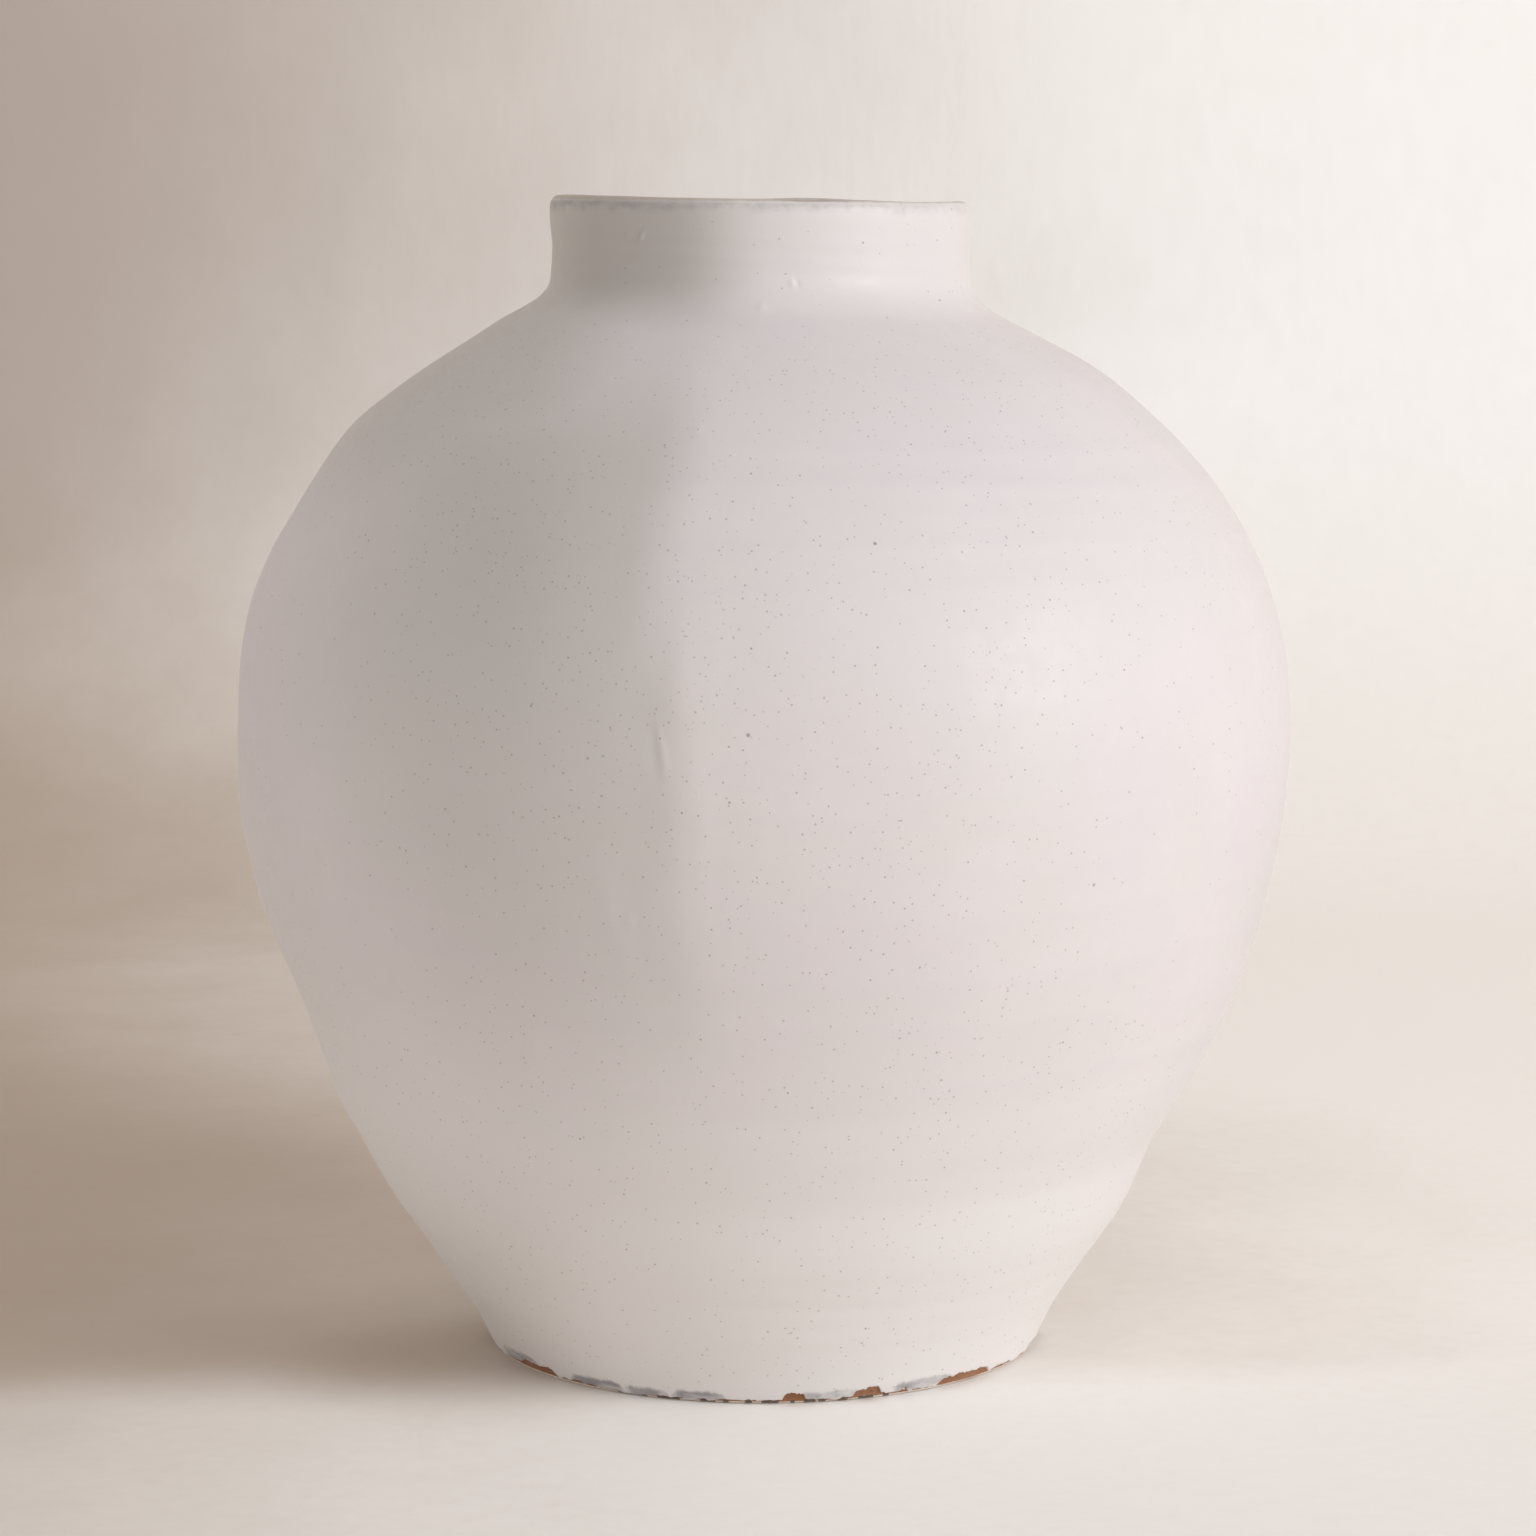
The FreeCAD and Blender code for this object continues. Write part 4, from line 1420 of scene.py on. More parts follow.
@dataclass
class OutsideGlaze:
    """The white glaze outside: lower half, upper half, neck with lip, and the hem at the foot."""

    wall: ThrownWall
    columns: int = 640
    hem_columns: int = 2160
    lower_rows: int = 134
    upper_rows: int = 134
    neck_rows: int = 64
    lip_rows: int = 22
    lap_rows: int = 8
    hem_rows: int = 40
    hidden_rows: int = 20
    hem_top: float = 12.0
    neck_bottom: float = 398.0
    hidden_depth: float = 0.74
    hem_hidden_depth: float = 0.92
    hem_edge: float = 1.25
    edge_rounding: float = 0.8
    chip_depth: float = 0.82
    sheen_turn: float = -48.0
    sheen_level: Span = (12.0, 34.0)
    lip_pool_bottom: Span = (443.2, 448.2)
    lip_pool_top: Span = (448.8, 450.0)
    lip_edge: Span = (448.9, 450.2)
    # The band of painted shade inside the lip
    inner_lip_shade: Span = (445.0, 447.5)
    lap_fade: float = 4.0
    lap_end: float = field(init=False)

    def __post_init__(self) -> None:
        """Works out where the lap ends inside the neck."""
        self.lap_end = self.wall.sizes.lip_level - self.wall.sizes.lip_lap

    def build(self, glaze: bpy.types.Material) -> None:
        """Builds and dresses the four bands of the glaze.

        Args:
            glaze: The outside's finish.
        """
        belly = self.wall.sizes.belly_level
        for name, low, high, rows in (("glaze_lower_half", self.hem_top, belly, self.lower_rows),
                                      ("glaze_upper_half", belly, self.neck_bottom, self.upper_rows)):
            settle(self._band(name, low, high, rows), glaze, "outer_glaze")
        settle(self._neck(), glaze, "outer_glaze")
        settle(self._hem(), glaze, "outer_glaze")

    def _normals(self, turn: np.ndarray, length: np.ndarray) -> np.ndarray:
        """Gives the outside's exact normals.

        The normal is a small step round the turn crossed with a small step up the profile.

        Args:
            turn: Angles in radians.
            length: Lengths along the profile.

        Returns:
            The unit normals.
        """
        angle, rise = 0.002, 0.3
        round_step = self.wall.outside(turn + angle, length) - self.wall.outside(turn - angle, length)
        up_step = self.wall.outside(turn, length + rise) - self.wall.outside(turn, length - rise)
        normals = np.cross(round_step, up_step)
        return normals / np.linalg.norm(normals, axis=-1, keepdims=True)

    def _sheen(self, turn: np.ndarray) -> np.ndarray:
        """Gives the gloss round the foot, strongest at the front right."""
        return 0.35 + 0.65 * smooth_step(np.cos(turn - math.radians(self.sheen_turn)), 0.5, 0.95)

    def _band(self, name: str, low: float, high: float, rows: int) -> bpy.types.Object:
        """Builds one closed band of the glaze between two levels.

        Its rows climb the outside at even steps, and a few rows lead back down under it.

        Args:
            name: The piece's name.
            low: Level of its lower edge.
            high: Level of its upper edge.
            rows: Rows that are seen.

        Returns:
            The piece.
        """
        turn = front_turns(self.columns)
        start, end = self.wall.length_at(low), self.wall.length_at(high)
        length = np.linspace(start, end, rows)[:, None]
        seen = self.wall.outside(turn, length)
        down = np.linspace(end, start, self.hidden_rows)[:, None]
        points = np.concatenate([seen, self.wall.outside(turn, down, self.hidden_depth)])
        piece = make_shell(name, points, closed=True)
        set_normals(piece, points, self._normals(turn, length))
        set_tone(piece, "ring_ridge", self.wall.marks.rings(turn, self.wall.profile(length)[..., 0]))
        set_tone(piece, "glossy", fall(seen[..., 2], *self.sheen_level) * self._sheen(turn))
        return piece

    def _neck(self) -> bpy.types.Object:
        """Builds the neck's glaze.

        Its rows go up the outside, over the lip, a little way down inside, and back under them.

        Returns:
            The piece.
        """
        sizes, wall = self.wall.sizes, self.wall
        turn = front_turns(self.columns)
        start, end = wall.length_at(self.neck_bottom), float(wall.knots[-1])
        length = np.linspace(start, end, self.neck_rows)[:, None]
        outside = wall.outside(turn, length)
        round_radius = sizes.neck_wall / 2 + sizes.glaze
        bend = np.linspace(0.0, math.pi, self.lip_rows + 2)[1:-1, None]
        over = wall.lip(turn, bend, round_radius)
        inside = self._lap(turn, sizes.glaze + sizes.neck_wall + sizes.glaze, rising=False)
        back_inside = self._lap(turn, sizes.glaze + sizes.neck_wall, rising=True)
        back_over = wall.lip(turn, bend[::-2], sizes.neck_wall / 2)
        down = np.linspace(end, start, self.hidden_rows)[:, None]
        back_outside = wall.outside(turn, down, self.hidden_depth)
        points = np.concatenate([outside, over, inside, back_inside, back_over, back_outside])
        piece = make_shell("glaze_neck_and_lip", points, closed=True)
        set_normals(piece, points, self._normals(turn, length)[:-2])
        level = points[..., 2] + points[..., 0] * math.tan(math.radians(0.7 * sizes.neck_tilt))
        frayed = 0.8 * ragged(turn, 5, 3, 60, 12)
        left = leftness(turn)
        band = smooth_step(level - frayed, *self.lip_pool_bottom) * fall(level, *self.lip_pool_top)
        set_tone(piece, "pooled", band * (0.28 + 0.34 * left))
        # Outside, the lip's top browns as thin glaze; inside, the brown is painted shade under the rim
        outer = np.hypot(points[..., 0], points[..., 1]) > sizes.lip_middle - 2.0
        edge = np.where(outer, smooth_step(level, *self.lip_edge) * (0.64 + 0.26 * left),
                        smooth_step(level, *self.inner_lip_shade))
        set_tone(piece, "thin_edge_and_lip_shade", edge)
        set_tone(piece, "ring_ridge", wall.marks.rings(turn, wall.profile(length)[..., 0]))
        return piece

    def _lap(self, turn: np.ndarray, depth: float, rising: bool) -> np.ndarray:
        """Gives rows of the neck's inside, at a depth below its outside.

        Args:
            turn: Angles in radians.
            depth: How far inside the outside they lie.
            rising: Whether the rows go up.

        Returns:
            The points.
        """
        wall = self.wall
        ends = (wall.length_at(self.lap_end), float(wall.knots[-1]) - 0.3)
        length = np.linspace(*ends, self.lap_rows)[:, None]
        if not rising:
            length = length[::-1]
        height, radius, _, side, back, tilt = np.moveaxis(wall.profile(length), -1, 0)
        push = wall.marks.push(turn, height, radius)
        push = push * smooth_step(height, self.lap_end - self.lap_fade, wall.sizes.lip_level)
        return wall.place(turn, radius - depth + push, np.zeros_like(radius), height, side, back, tilt)

    def _hem(self) -> bpy.types.Object:
        """Builds the glaze's lowest band, with its frayed edge, its chips and its pools.

        The rows' levels rise by a square law, and the edge's fraying dies out with the fourth power
        of what is left of the way up. Near the edge the glaze rounds off to the clay by a quarter
        circle, and in a chip it dips just under the clay's surface.

        Returns:
            The piece.
        """
        sizes, wall = self.wall.sizes, self.wall
        turn = front_turns(self.hem_columns)
        edge = self.hem_edge + 0.34 * ragged(turn, 3, 5, 90, 14) + 0.16 * ragged(turn, 4, 60, 420, 16)
        drips = np.clip(ragged(turn, 9, 24, 110, 10) - 1.1, 0.0, 1.0)
        edge = np.clip(edge - 1.1 * drips, 0.25, 2.3)
        share = np.linspace(0.0, 1.0, self.hem_rows)[:, None]
        level = self.hem_edge + (self.hem_top - self.hem_edge) * (0.6 * share + 0.4 * share ** 2)
        level = level + (edge - self.hem_edge) * (1.0 - share) ** 4
        lengths = np.linspace(0.0, wall.length_at(self.hem_top + 2.0), 800)
        length = np.interp(level, wall.profile(lengths)[:, 0], lengths)
        length[-1] = wall.length_at(self.hem_top)
        fray = 0.32 * ragged(turn, 17, 40, 520, 18) * np.ones_like(level)
        chip = np.zeros_like(level)
        for mark in CHIPS:
            chip = np.maximum(chip, mark.mask(turn, level, fray, 0.2))
        below_full = 1.0 - np.clip((level - edge) / self.edge_rounding, 0.0, 1.0)
        rounding = (sizes.glaze - 0.12) * (1.0 - np.sqrt(1.0 - below_full ** 2))
        depth = np.maximum(rounding, self.chip_depth * chip)
        seen = wall.outside(turn, length, depth)
        hidden_length = np.linspace(length[-1], length[0], 3)
        hidden = wall.outside(turn, hidden_length, self.hem_hidden_depth)
        points = np.concatenate([seen, hidden])
        piece = make_shell("glaze_foot_hem", points, closed=True)
        set_normals(piece, points, self._normals(turn, length), 1.0 - smooth_step(depth, 0.0, 0.05))
        pool = np.zeros_like(level)
        for mark in POOLS:
            pool = np.maximum(pool, mark.mask(turn, level, 0.6 * fray + 0.5, 1.5, 3.0))
        lip_of_chip = 4.0 * chip * (1.0 - chip)
        for name, values in (("pooled", 0.95 * pool * (1.0 - chip)), ("thin_edge_and_lip_shade", 0.6 * lip_of_chip),
                             ("glossy", self._sheen(turn) * np.ones_like(level))):
            set_tone(piece, name, values)
        return piece


@dataclass
class InsideGlaze:
    """The glaze inside: a floor with its throwing spiral, the wall's rings and the belly's coil."""

    wall: ThrownWall
    columns: int = 360
    floor_rows: int = 44
    wall_rows: int = 190
    hidden_rows: int = 26
    hidden_floor_rows: int = 10
    hidden_coat: float = 0.04
    coil_blend: float = 0.6
    ring_pitch: float = 12.5
    rings_start: Span = (26.0, 44.0)
    rings_end: Span = (410.0, 432.0)
    strong_to_weak: Span = (60.0, 300.0)
    spiral_pitch: float = 13.0

    def build(self, glaze: bpy.types.Material) -> None:
        """Builds and dresses the coat.

        Its rows climb from the floor's middle under the coat and come back down over it.

        Args:
            glaze: The inside's finish.
        """
        coat = self.wall.sizes.glaze
        turn = turns(self.columns)
        hidden, _ = self._surface(turn, self.hidden_rows, self.hidden_floor_rows, self.hidden_coat,
                                  plain=True)
        seen, ridges = self._surface(turn, self.wall_rows, self.floor_rows, coat, plain=False)
        points = np.concatenate([hidden, seen[::-1]])
        piece = make_shell("glaze_inside", points, closed=False)
        set_tone(piece, "ring_ridge", np.concatenate([np.zeros(hidden.shape[:2]), ridges[::-1]]))
        settle(piece, glaze, "inner_glaze")

    def _surface(self, turn: np.ndarray, wall_rows: int, floor_rows: int, coat: float, plain: bool
                 ) -> tuple[np.ndarray, np.ndarray]:
        """Gives rows of the inside from the floor's middle up to the neck, and its ridges.

        The wall is the source's inner profile. The coil bulges it by the arc of a circle, and
        rings climb it in a spiral; on the floor the spiral runs out from the middle.

        Args:
            turn: Angles in radians.
            wall_rows: Rows up the wall.
            floor_rows: Rows across the floor.
            coat: Thickness on the clay.
            plain: Whether to leave out the rings.

        Returns:
            The points, and the rings' push for each.
        """
        wall, sizes = self.wall, self.wall.sizes
        rings = wall.inner_rings(coat)
        lengths = wall.lengths(rings)
        profile = NaturalSpline(lengths, rings)
        dense = np.linspace(0.0, lengths[-1], 3000)
        top = sizes.lip_level - sizes.lip_lap
        end = float(np.interp(top, profile(dense)[:, 0], dense))
        length = np.linspace(0.0, end, wall_rows)[:, None]
        height, radius, side, back, tilt = np.moveaxis(profile(length), -1, 0)
        radius = self._over_coil(radius, height, coat)
        rise = (0.0 if plain else 1.0) * self._rings(turn, height)
        up = np.broadcast_to(wall.place(turn, radius - rise, np.zeros_like(radius), height, side, back, tilt),
                             (wall_rows, turn.shape[1], 3))
        floor_radius = np.linspace(0.0, 1.0, floor_rows + 1)[1:-1, None] * radius[0]
        spiral = self._spiral(turn, floor_radius, float(radius[0, 0]))
        lift = np.zeros_like(spiral) if plain else spiral
        across = wall.place(turn, floor_radius * np.ones_like(turn), lift,
                            height[:1], side[:1], back[:1], tilt[:1])
        ridges = np.concatenate([spiral, rise * np.ones_like(turn)])
        return np.concatenate([across, up]), ridges

    def _over_coil(self, radius: np.ndarray, height: np.ndarray, coat: float) -> np.ndarray:
        """Draws the wall in over the coil at the belly.

        The radius is the softened smaller one of the wall's and of the coil's arc: minus the
        blend times the logarithm of the sum of both exponentials.

        Args:
            radius: The wall's radii.
            height: Its levels.
            coat: Thickness on the clay.

        Returns:
            The radii over the coil.
        """
        sizes = self.wall.sizes
        coil_round = ((sizes.coil_width / 2) ** 2 + sizes.coil_rise ** 2) / (2 * sizes.coil_rise)
        middle = sizes.belly_radius - sizes.glaze - sizes.belly_wall - sizes.coil_rise + coil_round
        above = height - sizes.belly_level
        reach = (coil_round + coat) ** 2 - above ** 2
        near, far = sizes.belly_radius, 2.0 * sizes.belly_radius
        arc = np.where(reach > 0, middle - np.sqrt(np.maximum(reach, 0.0)), far)
        soft = self.coil_blend
        return near - soft * np.log(np.exp((near - radius) / soft) + np.exp((near - arc) / soft))

    def _rings(self, turn: np.ndarray, height: np.ndarray) -> np.ndarray:
        """Gives the throwing rings inside: a sine that climbs one pitch in a turn, stronger low down.

        Args:
            turn: Angles in radians.
            height: Levels in millimetres.

        Returns:
            How far the rings stand in from the wall.
        """
        strength = 0.10 + 0.22 * fall(height, *self.strong_to_weak)
        fade = smooth_step(height, *self.rings_start) * fall(height, *self.rings_end)
        sway = 0.8 * np.sin(2 * turn + 0.02 * height)
        return strength * fade * np.sin(FULL_TURN * height / self.ring_pitch + turn + sway)

    def _spiral(self, turn: np.ndarray, radius: np.ndarray, edge: float) -> np.ndarray:
        """Gives the floor's spiral and its low boss in the middle.

        The spiral is a sine of the radius that runs out one pitch in a turn, the boss a bell curve.

        Args:
            turn: Angles in radians.
            radius: Radii on the floor.
            edge: The floor's own radius.

        Returns:
            Heights above the floor.
        """
        fade = smooth_step(radius, 3.0, 12.0) * smooth_step(edge - radius, 0.0, 14.0)
        wave = 0.28 * np.sin(FULL_TURN * radius / self.spiral_pitch - turn)
        boss = 0.5 * np.exp(-0.5 * (radius / 7.0) ** 2) * np.ones_like(turn)
        return fade * wave + boss


@dataclass
class FootRing:
    """The bare foot ring: bevelled and nicked outside, rubbed flat below, glazed hollow inside."""

    wall: ThrownWall
    columns: int = 1440
    top: float = 8.0
    top_rows: int = 5
    low_rows: int = 22
    rim: float = 0.5
    rim_top: Span = (1.1, 1.9)
    rubbed_top: Span = (0.7, 1.5)
    dark_dash_top: Span = (1.3, 1.9)
    dark_dash_turn: float = -92.0
    outer_levels: tuple[float, ...] = (0.12, 0.35, 0.65, 0.95, 1.2, 1.6, 2.0, 2.5, 3.0, 3.6, 4.2, 4.8,
                                       5.6, 6.6, 7.9)
    inner_levels: tuple[float, ...] = (7.9, 6.0, 4.5, 3.4, 2.6, 1.9, 1.3, 0.8, 0.4, 0.15)

    def build(self, clay: bpy.types.Material) -> None:
        """Builds and dresses the ring.

        Its outline goes up the outside, in over the top, down the inside and out over the
        underside. Corners are rounded, and nicks move the lower edge a few tenths.

        Args:
            clay: The ring's finish.
        """
        sizes, wall = self.wall.sizes, self.wall
        turn = turns(self.columns)
        nick = 0.10 * ragged(turn, 21, 30, 500, 20) + 0.10 * ragged(turn, 22, 6, 60, 10)
        level = np.array(self.outer_levels)[:, None]
        bevel = np.clip(0.45 * sizes.foot_bevel + 0.3 * nick - level, 0.0, None)
        rim = self.rim * fall(level, *self.rim_top)
        lengths = np.linspace(0.0, wall.length_at(12.0), 600)
        length = np.interp(level, wall.profile(lengths)[:, 0], lengths)
        outer = wall.outside(turn, length * np.ones_like(turn), sizes.glaze - rim + bevel)
        outer_radius = np.hypot(outer[..., 0], outer[..., 1])
        inner_radius = sizes.foot_radius - sizes.foot_ring_width
        slope = sizes.recess_draft / sizes.bowl_level
        share = np.linspace(0.0, 1.0, self.top_rows + 2)[1:-1, None]
        top_radius = outer_radius[-1:] + share * (inner_radius - slope * self.top - outer_radius[-1:])
        top = ring_points(turn, top_radius, np.full_like(share, self.top))
        inner_level = np.array(self.inner_levels)[:, None]
        inner_edge = (inner_radius - slope * inner_level) * np.ones_like(turn)
        inner_edge = inner_edge + np.clip(0.5 + 0.6 * nick - inner_level, 0.0, None)
        inner = ring_points(turn, inner_edge, inner_level)
        share = np.linspace(0.03, 0.97, self.low_rows)[:, None]
        low_radius = inner_edge[-1:] + 0.25 + share * (outer_radius[:1] - 0.2 - inner_edge[-1:] - 0.25)
        uneven = 1.0 + ragged(turn, 31, 20, 300, 14) / 2.5
        crown = 0.10 * (2.0 * share - 1.0) ** 4 + 0.03 * uneven * (1 - share)
        below = ring_points(turn, low_radius, np.clip(crown, 0.0, 0.2))
        points = np.concatenate([outer, top, inner, below])
        piece = make_shell("foot_ring_bare", points, closed=True)
        piece.data.set_sharp_from_angle(angle=math.radians(50.0))
        self._tones(piece, points, turn, len(outer))
        settle(piece, clay, "foot_ring")

    def _tones(self, piece: bpy.types.Object, points: np.ndarray, turn: np.ndarray, outer_rows: int) -> None:
        """Marks where the ring is rubbed pale, and dark dashes along its lower edge at the front.

        Args:
            piece: The ring.
            points: Its rows, columns and coordinates.
            turn: Angles in radians.
            outer_rows: How many of the rows lie outside.
        """
        level = points[..., 2]
        set_tone(piece, "rubbed", fall(level, *self.rubbed_top))
        dashes = ragged(turn, 41, 36, 130, 14)
        front = smooth_step(np.cos(turn - math.radians(self.dark_dash_turn)), 0.78, 0.93)
        low_edge = smooth_step(level, 0.2, 0.5) * fall(level, *self.dark_dash_top)
        dark_dash = smooth_step(dashes, -0.25, 0.15) * front * low_edge
        dark_dash[outer_rows:] = 0.0
        set_tone(piece, "dark_dash", dark_dash)


@dataclass
class UnderFloorGlaze:
    """The glaze in the hollow under the floor, with trimming rings and a frayed hem."""

    wall: ThrownWall
    columns: int = 480
    cove: float = 2.2
    trim_pitch: float = 8.5
    sag: float = 0.2
    hidden_gap: float = 0.02

    def build(self, glaze: bpy.types.Material) -> None:
        """Builds and dresses the coat.

        Its outline runs out over the ceiling, through a cove down the ring's inside, round the
        hem, and back over the clay. Trimming rings are a sine of the radius that runs out one
        pitch in a turn.

        Args:
            glaze: The coat's finish.
        """
        sizes = self.wall.sizes
        turn = turns(self.columns)
        slope = sizes.recess_draft / sizes.bowl_level
        clay_radius = sizes.foot_radius - sizes.foot_ring_width
        ceiling, cove = sizes.bowl_level - sizes.glaze, self.cove
        wall_radius = clay_radius - slope * ceiling - sizes.glaze
        low_ceiling = ceiling - self.sag
        across = np.linspace(0.0, 1.0, 72)[1:, None] * (wall_radius - cove)
        trim = 0.16 * np.sin(FULL_TURN * across / self.trim_pitch - turn) * smooth_step(across, 4.0, 14.0)
        trim = trim * smooth_step(wall_radius - cove - across, 0.0, 8.0)
        trim = trim + 0.22 * np.exp(-0.5 * (across / 5.0) ** 2)
        seen_top = ring_points(turn, across, low_ceiling + trim)
        bend = np.radians(np.linspace(90.0, 0.0, 9))[1:, None]
        seen_cove = ring_points(turn, wall_radius - cove + cove * np.cos(bend),
                                low_ceiling - cove + cove * np.sin(bend))
        hem = 3.0 + 0.45 * ragged(turn, 51, 5, 70, 12) + 0.15 * ragged(turn, 52, 60, 200, 10)
        hem = np.clip(hem, 1.9, 4.4)
        share = np.linspace(0.0, 1.0, 9)[1:, None]
        level = low_ceiling - cove - share * (low_ceiling - cove - hem)
        coat = sizes.glaze * (1.0 - 0.8 * share ** 4)
        seen_wall = ring_points(turn, clay_radius - slope * level - coat, level)
        hidden_wall = ring_points(turn, clay_radius - slope * level[::-2] - self.hidden_gap, level[::-2])
        back = np.linspace(1.0, 0.0, 6)[:-1, None] * (clay_radius - slope * sizes.bowl_level)
        hidden_top = ring_points(turn, back, np.full_like(back, sizes.bowl_level - self.hidden_gap))
        points = np.concatenate([seen_top, seen_cove, seen_wall, hidden_wall, hidden_top])
        piece = make_shell("glaze_under_floor", points, closed=False)
        set_tone(piece, "ring_ridge", -2.0 * trim)
        settle(piece, glaze, "foot_recess_glaze")


@dataclass(frozen=True)
class Undercoat:
    """Dresses the packed clay and slip that the glaze covers."""

    clay: FiredClay = FiredClay("white body clay", (0.80, 0.765, 0.715, 1.0), (0.70, 0.645, 0.575, 1.0))
    slip: FiredClay = FiredClay("joining slip", (0.765, 0.735, 0.69, 1.0), (0.66, 0.61, 0.55, 1.0),
                                1400.0, 620.0, 0.0002)

    def dress(self, effects: Effects) -> None:
        """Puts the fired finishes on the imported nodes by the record's slots.

        Args:
            effects: The shared node groups.
        """
        finishes = {"body_clay": self.clay.build(effects), "slip": self.slip.build(effects)}
        for part in frame["record"]["subparts"]:
            node = frame["nodes"].get(part["node"])
            finish = finishes.get(part["material_slot"])
            if node is None or finish is None:
                continue
            node.data.materials.clear()
            node.data.materials.append(finish)
            log.info("%s: dressed as %s", part["node"], finish.name)


# ------------------------------------------------------------------------------------------ Stage


@dataclass(frozen=True)
class Studio:
    """A pale floor that sweeps up into a backdrop, a broad soft key from the right, and the sky."""

    near: float = -3.2
    bend_start: float = 0.95
    bend_radius: float = 0.55
    top: float = 3.2
    half_width: float = 4.0
    columns: int = 25
    hole_radius: float = 0.106
    # The paper's dim colours are painted shade at the left, its bright ones painted light at the right; the
    # bounce colour is the even cream that lights the jar
    bright: Colour = (0.960, 0.945, 0.925, 1.0)
    dim: Colour = (0.500, 0.420, 0.355, 1.0)
    bright_high: Colour = (0.955, 0.962, 0.968, 1.0)
    dim_high: Colour = (0.475, 0.415, 0.375, 1.0)
    bounce: Colour = (0.93, 0.88, 0.82, 1.0)
    sky: Colour = (1.0, 0.935, 0.885, 1.0)
    sky_strength: float = 0.57
    key_colour: Spot = (0.985, 0.985, 1.0)
    key_power: float = 39.2
    key_size: float = 1.5
    key_distance: float = 3.0
    key_azimuth: float = 58.0
    key_elevation: float = 20.0
    aim: Spot = (0.0, 0.0, 0.22)
    # Painted shadows on the floor: a contact shadow by the jar's left foot, and the jar's shadow behind it at
    # the left
    foot_shade: Spot = (-0.105, -0.055, 0.0)
    foot_shade_reach: Span = (0.04, 0.10)
    painted_shadow_from: Span = (-0.125, -0.03)
    painted_shadow_to: Span = (0.12, 0.80)
    painted_shadow_depth: float = 0.36
    wall_from: Span = (0.0, 0.12)
    backdrop: Span = (0.05, 0.35)
    dim_end: float = -0.62
    bright_ends: Span = (0.14, 0.54)
    bright_levels: Span = (0.15, 0.40)
    lens: float = 101.2
    sensor: float = 36.0
    eye: Spot = (0.0014, -1.691, 0.4531)
    look_down: float = 7.594

    def build(self) -> None:
        """Builds the floor, the lights and the camera."""
        sweep = self._sweep()
        sweep.data.materials.append(self._paper())
        self._world()
        self._key()
        self._camera()

    def _sweep(self) -> bpy.types.Object:
        """Makes the sweep: a flat floor, a quarter circle and an upright wall.

        Returns:
            The sweep's object.
        """
        flat = np.linspace(self.near, self.bend_start, 30)
        angle = np.linspace(0.0, math.pi / 2, 40)[1:]
        rise = np.linspace(self.bend_radius, self.top, 16)[1:]
        depth = np.concatenate([flat, self.bend_start + self.bend_radius * np.sin(angle),
                                np.full(len(rise), self.bend_start + self.bend_radius)])
        height = np.concatenate([np.zeros(len(flat)), self.bend_radius * (1 - np.cos(angle)), rise])
        across = np.linspace(-self.half_width, self.half_width, self.columns)
        points = np.stack(np.broadcast_arrays(across[None, :], depth[:, None], height[:, None]), axis=-1)
        rows, columns = points.shape[:2]
        row, column = np.meshgrid(np.arange(rows - 1), np.arange(columns - 1), indexing="ij")
        corner = row * columns + column
        faces = np.stack([corner, corner + 1, corner + columns + 1, corner + columns], axis=-1).reshape(-1, 4)
        mesh = bpy.data.meshes.new("studio_sweep")
        mesh.from_pydata(points.reshape(-1, 3).tolist(), [], faces.tolist())
        mesh.polygons.foreach_set("use_smooth", np.ones(len(faces), bool))
        mesh.update()
        sweep = bpy.data.objects.new("studio_sweep", mesh)
        bpy.context.scene.collection.objects.link(sweep)
        return sweep

    def _paper(self) -> bpy.types.Material:
        """Builds the sweep's paper: pale cream with painted light and shade and soft clouds.

        Its colour goes from dim at the left to bright at the right as painted light falloff, with a
        painted shadow of the jar behind it at the left and a painted contact shadow at its left foot.
        The camera sees this graded colour with a slight painted glow, and the light that the paper
        throws back on the jar comes off an even cream. From behind, the paper is clear, and so it is
        under the foot, to let light reach the jar's underside when it is looked at from below.

        Returns:
            The material.
        """
        material, board, shader = start_material("studio paper")
        place = board.place()
        x, y, z = board.axes(place)
        # Painted shadow of the jar on the floor behind it at the left, and painted contact shadow at its left
        # foot
        far = board.times(board.span(y, *self.painted_shadow_from, 0.0, self.painted_shadow_depth),
                          board.span(y, *self.painted_shadow_to, 1.0, self.painted_shadow_depth))
        far = board.times(far, board.fall(z, *self.wall_from))
        shade = board.span(board.distance(place, self.foot_shade), *self.foot_shade_reach, 0.14, 0.0)
        far = board.plus(far, shade)
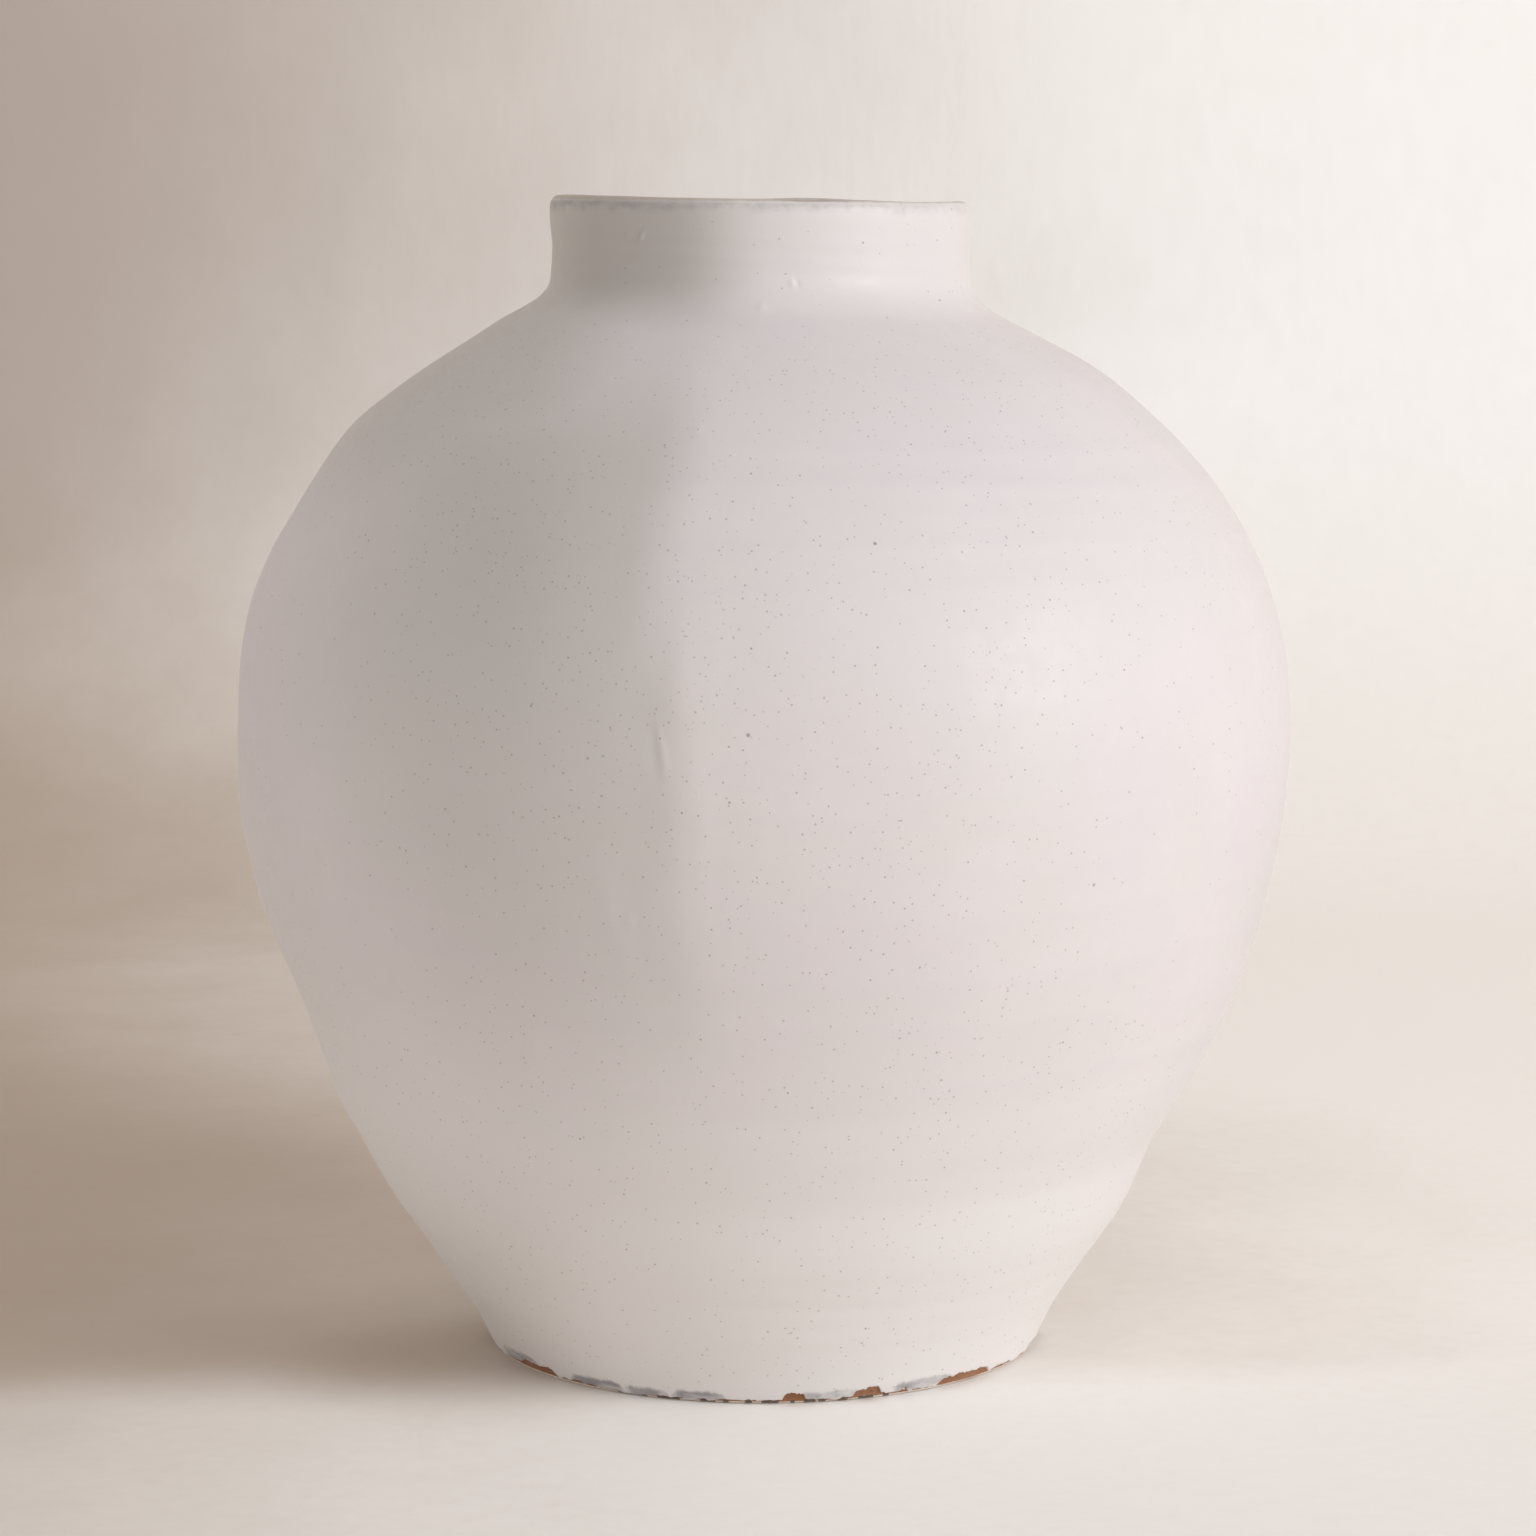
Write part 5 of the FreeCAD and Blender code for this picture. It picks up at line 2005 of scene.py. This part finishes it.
        # Painted light falloff: from the dim colour at the left to the bright one at the right, with soft
        # clouds
        across = board.math("SUBTRACT", board.plus(x, 0.07), far)
        clouds = board.noise(board.stretch(place, (1.0, 1.0, 0.7)), 4.5, 5.0, 0.6)
        across = board.frayed(across, clouds, 0.30)
        full = board.span(z, *self.bright_levels, *self.bright_ends)
        high = board.span(z, *self.backdrop)
        dim = board.blend(high, self.dim, self.dim_high)
        bright = board.blend(high, self.bright, self.bright_high)
        shown = board.blend(board.span(across, self.dim_end, full), dim, bright)
        weave = board.noise(board.stretch(place, (1.0, 1.0, 0.25)), 110.0, 3.0, 0.6)
        shown = board.blend(board.times(board.span(weave, 0.35, 0.75), 0.05), shown, self.dim)
        seen = board.add("LightPath").outputs["Is Camera Ray"]
        colour = board.blend(seen, self.bounce, shown)
        finish_shader(board, shader, colour, board.span(weave, 0.3, 0.7, 0.85, 0.95), weave, 0.08, 0.0005)
        board.link(shown, shader, "Emission Color")
        # Painted glow: the paper shines a little for the camera, more behind the jar and up the backdrop
        front = board.span(x, -0.10, 0.15, 0.065, 0.02)
        glow = board.plus(board.span(y, -0.15, 0.10, front, 0.09), board.span(z, 0.02, 0.35, 0.0, 0.04))
        board.link(board.times(seen, glow), shader, "Emission Strength")
        behind = board.times(seen, board.add("NewGeometry").outputs["Backfacing"])
        under = board.math("LESS_THAN", board.distance(place, (0.0, 0.0, 0.0)), self.hole_radius)
        behind = board.math("MAXIMUM", behind, under)
        clear = board.add("BsdfTransparent")
        mixed = board.add("MixShader", {0: behind, 1: shader.outputs["BSDF"], 2: clear.outputs["BSDF"]})
        out = next(node for node in board.tree.nodes if node.type == "OUTPUT_MATERIAL")
        board.link(mixed.outputs[0], out, "Surface")
        return material

    def _world(self) -> None:
        """Sets the sky's plain warm light."""
        world = bpy.data.worlds.new("soft sky")
        world.use_nodes = True
        node = world.node_tree.nodes["Background"]
        node.inputs["Color"].default_value = self.sky
        node.inputs["Strength"].default_value = self.sky_strength
        bpy.context.scene.world = world

    def _key(self) -> None:
        """Hangs the broad key light at the right, a little in front of the jar."""
        data = bpy.data.lights.new("key", "AREA")
        data.shape = "DISK"
        data.size = self.key_size
        data.energy = self.key_power
        data.color = self.key_colour
        lamp = bpy.data.objects.new("key", data)
        azimuth, elevation = math.radians(self.key_azimuth), math.radians(self.key_elevation)
        away = np.array([math.sin(azimuth) * math.cos(elevation), -math.cos(azimuth) * math.cos(elevation),
                         math.sin(elevation)])
        lamp.location = (away * self.key_distance + np.array(self.aim)).tolist()
        lamp.rotation_euler = (math.pi / 2 - elevation, 0.0, azimuth)
        bpy.context.scene.collection.objects.link(lamp)

    def _camera(self) -> None:
        """Sets the camera that the jar was seen with: long lens, a little above the lip."""
        data = bpy.data.cameras.new("view")
        data.sensor_width = self.sensor
        data.lens = self.lens
        camera = bpy.data.objects.new("view", data)
        camera.location = self.eye
        camera.rotation_euler = (math.radians(90.0 - self.look_down), 0.0, 0.0)
        bpy.context.scene.collection.objects.link(camera)
        bpy.context.scene.camera = camera


def main() -> None:
    """Builds the jar's pieces in order and sets the stage."""
    logging.basicConfig(level=logging.INFO, format="%(name)s %(message)s")
    scene = bpy.context.scene
    scene.view_settings.view_transform = "Standard"
    effects = Effects()
    wall = ThrownWall(JarSizes())
    glaze = WhiteGlaze().build(effects)
    inside = InnerGlaze("thin glaze inside", (0.80, 0.765, 0.735, 1.0), (0.69, 0.655, 0.63, 1.0))
    below = InnerGlaze("thin glaze below", (0.79, 0.755, 0.72, 1.0), (0.66, 0.615, 0.57, 1.0), 60.0)
    inside_finish, below_finish = inside.build(effects), below.build(effects)
    OutsideGlaze(wall).build(glaze)
    InsideGlaze(wall).build(inside_finish)
    UnderFloorGlaze(wall).build(below_finish)
    FootRing(wall).build(FootClay().build(effects))
    Undercoat().dress(effects)
    Studio().build()


if __name__ == "__main__":
    main()
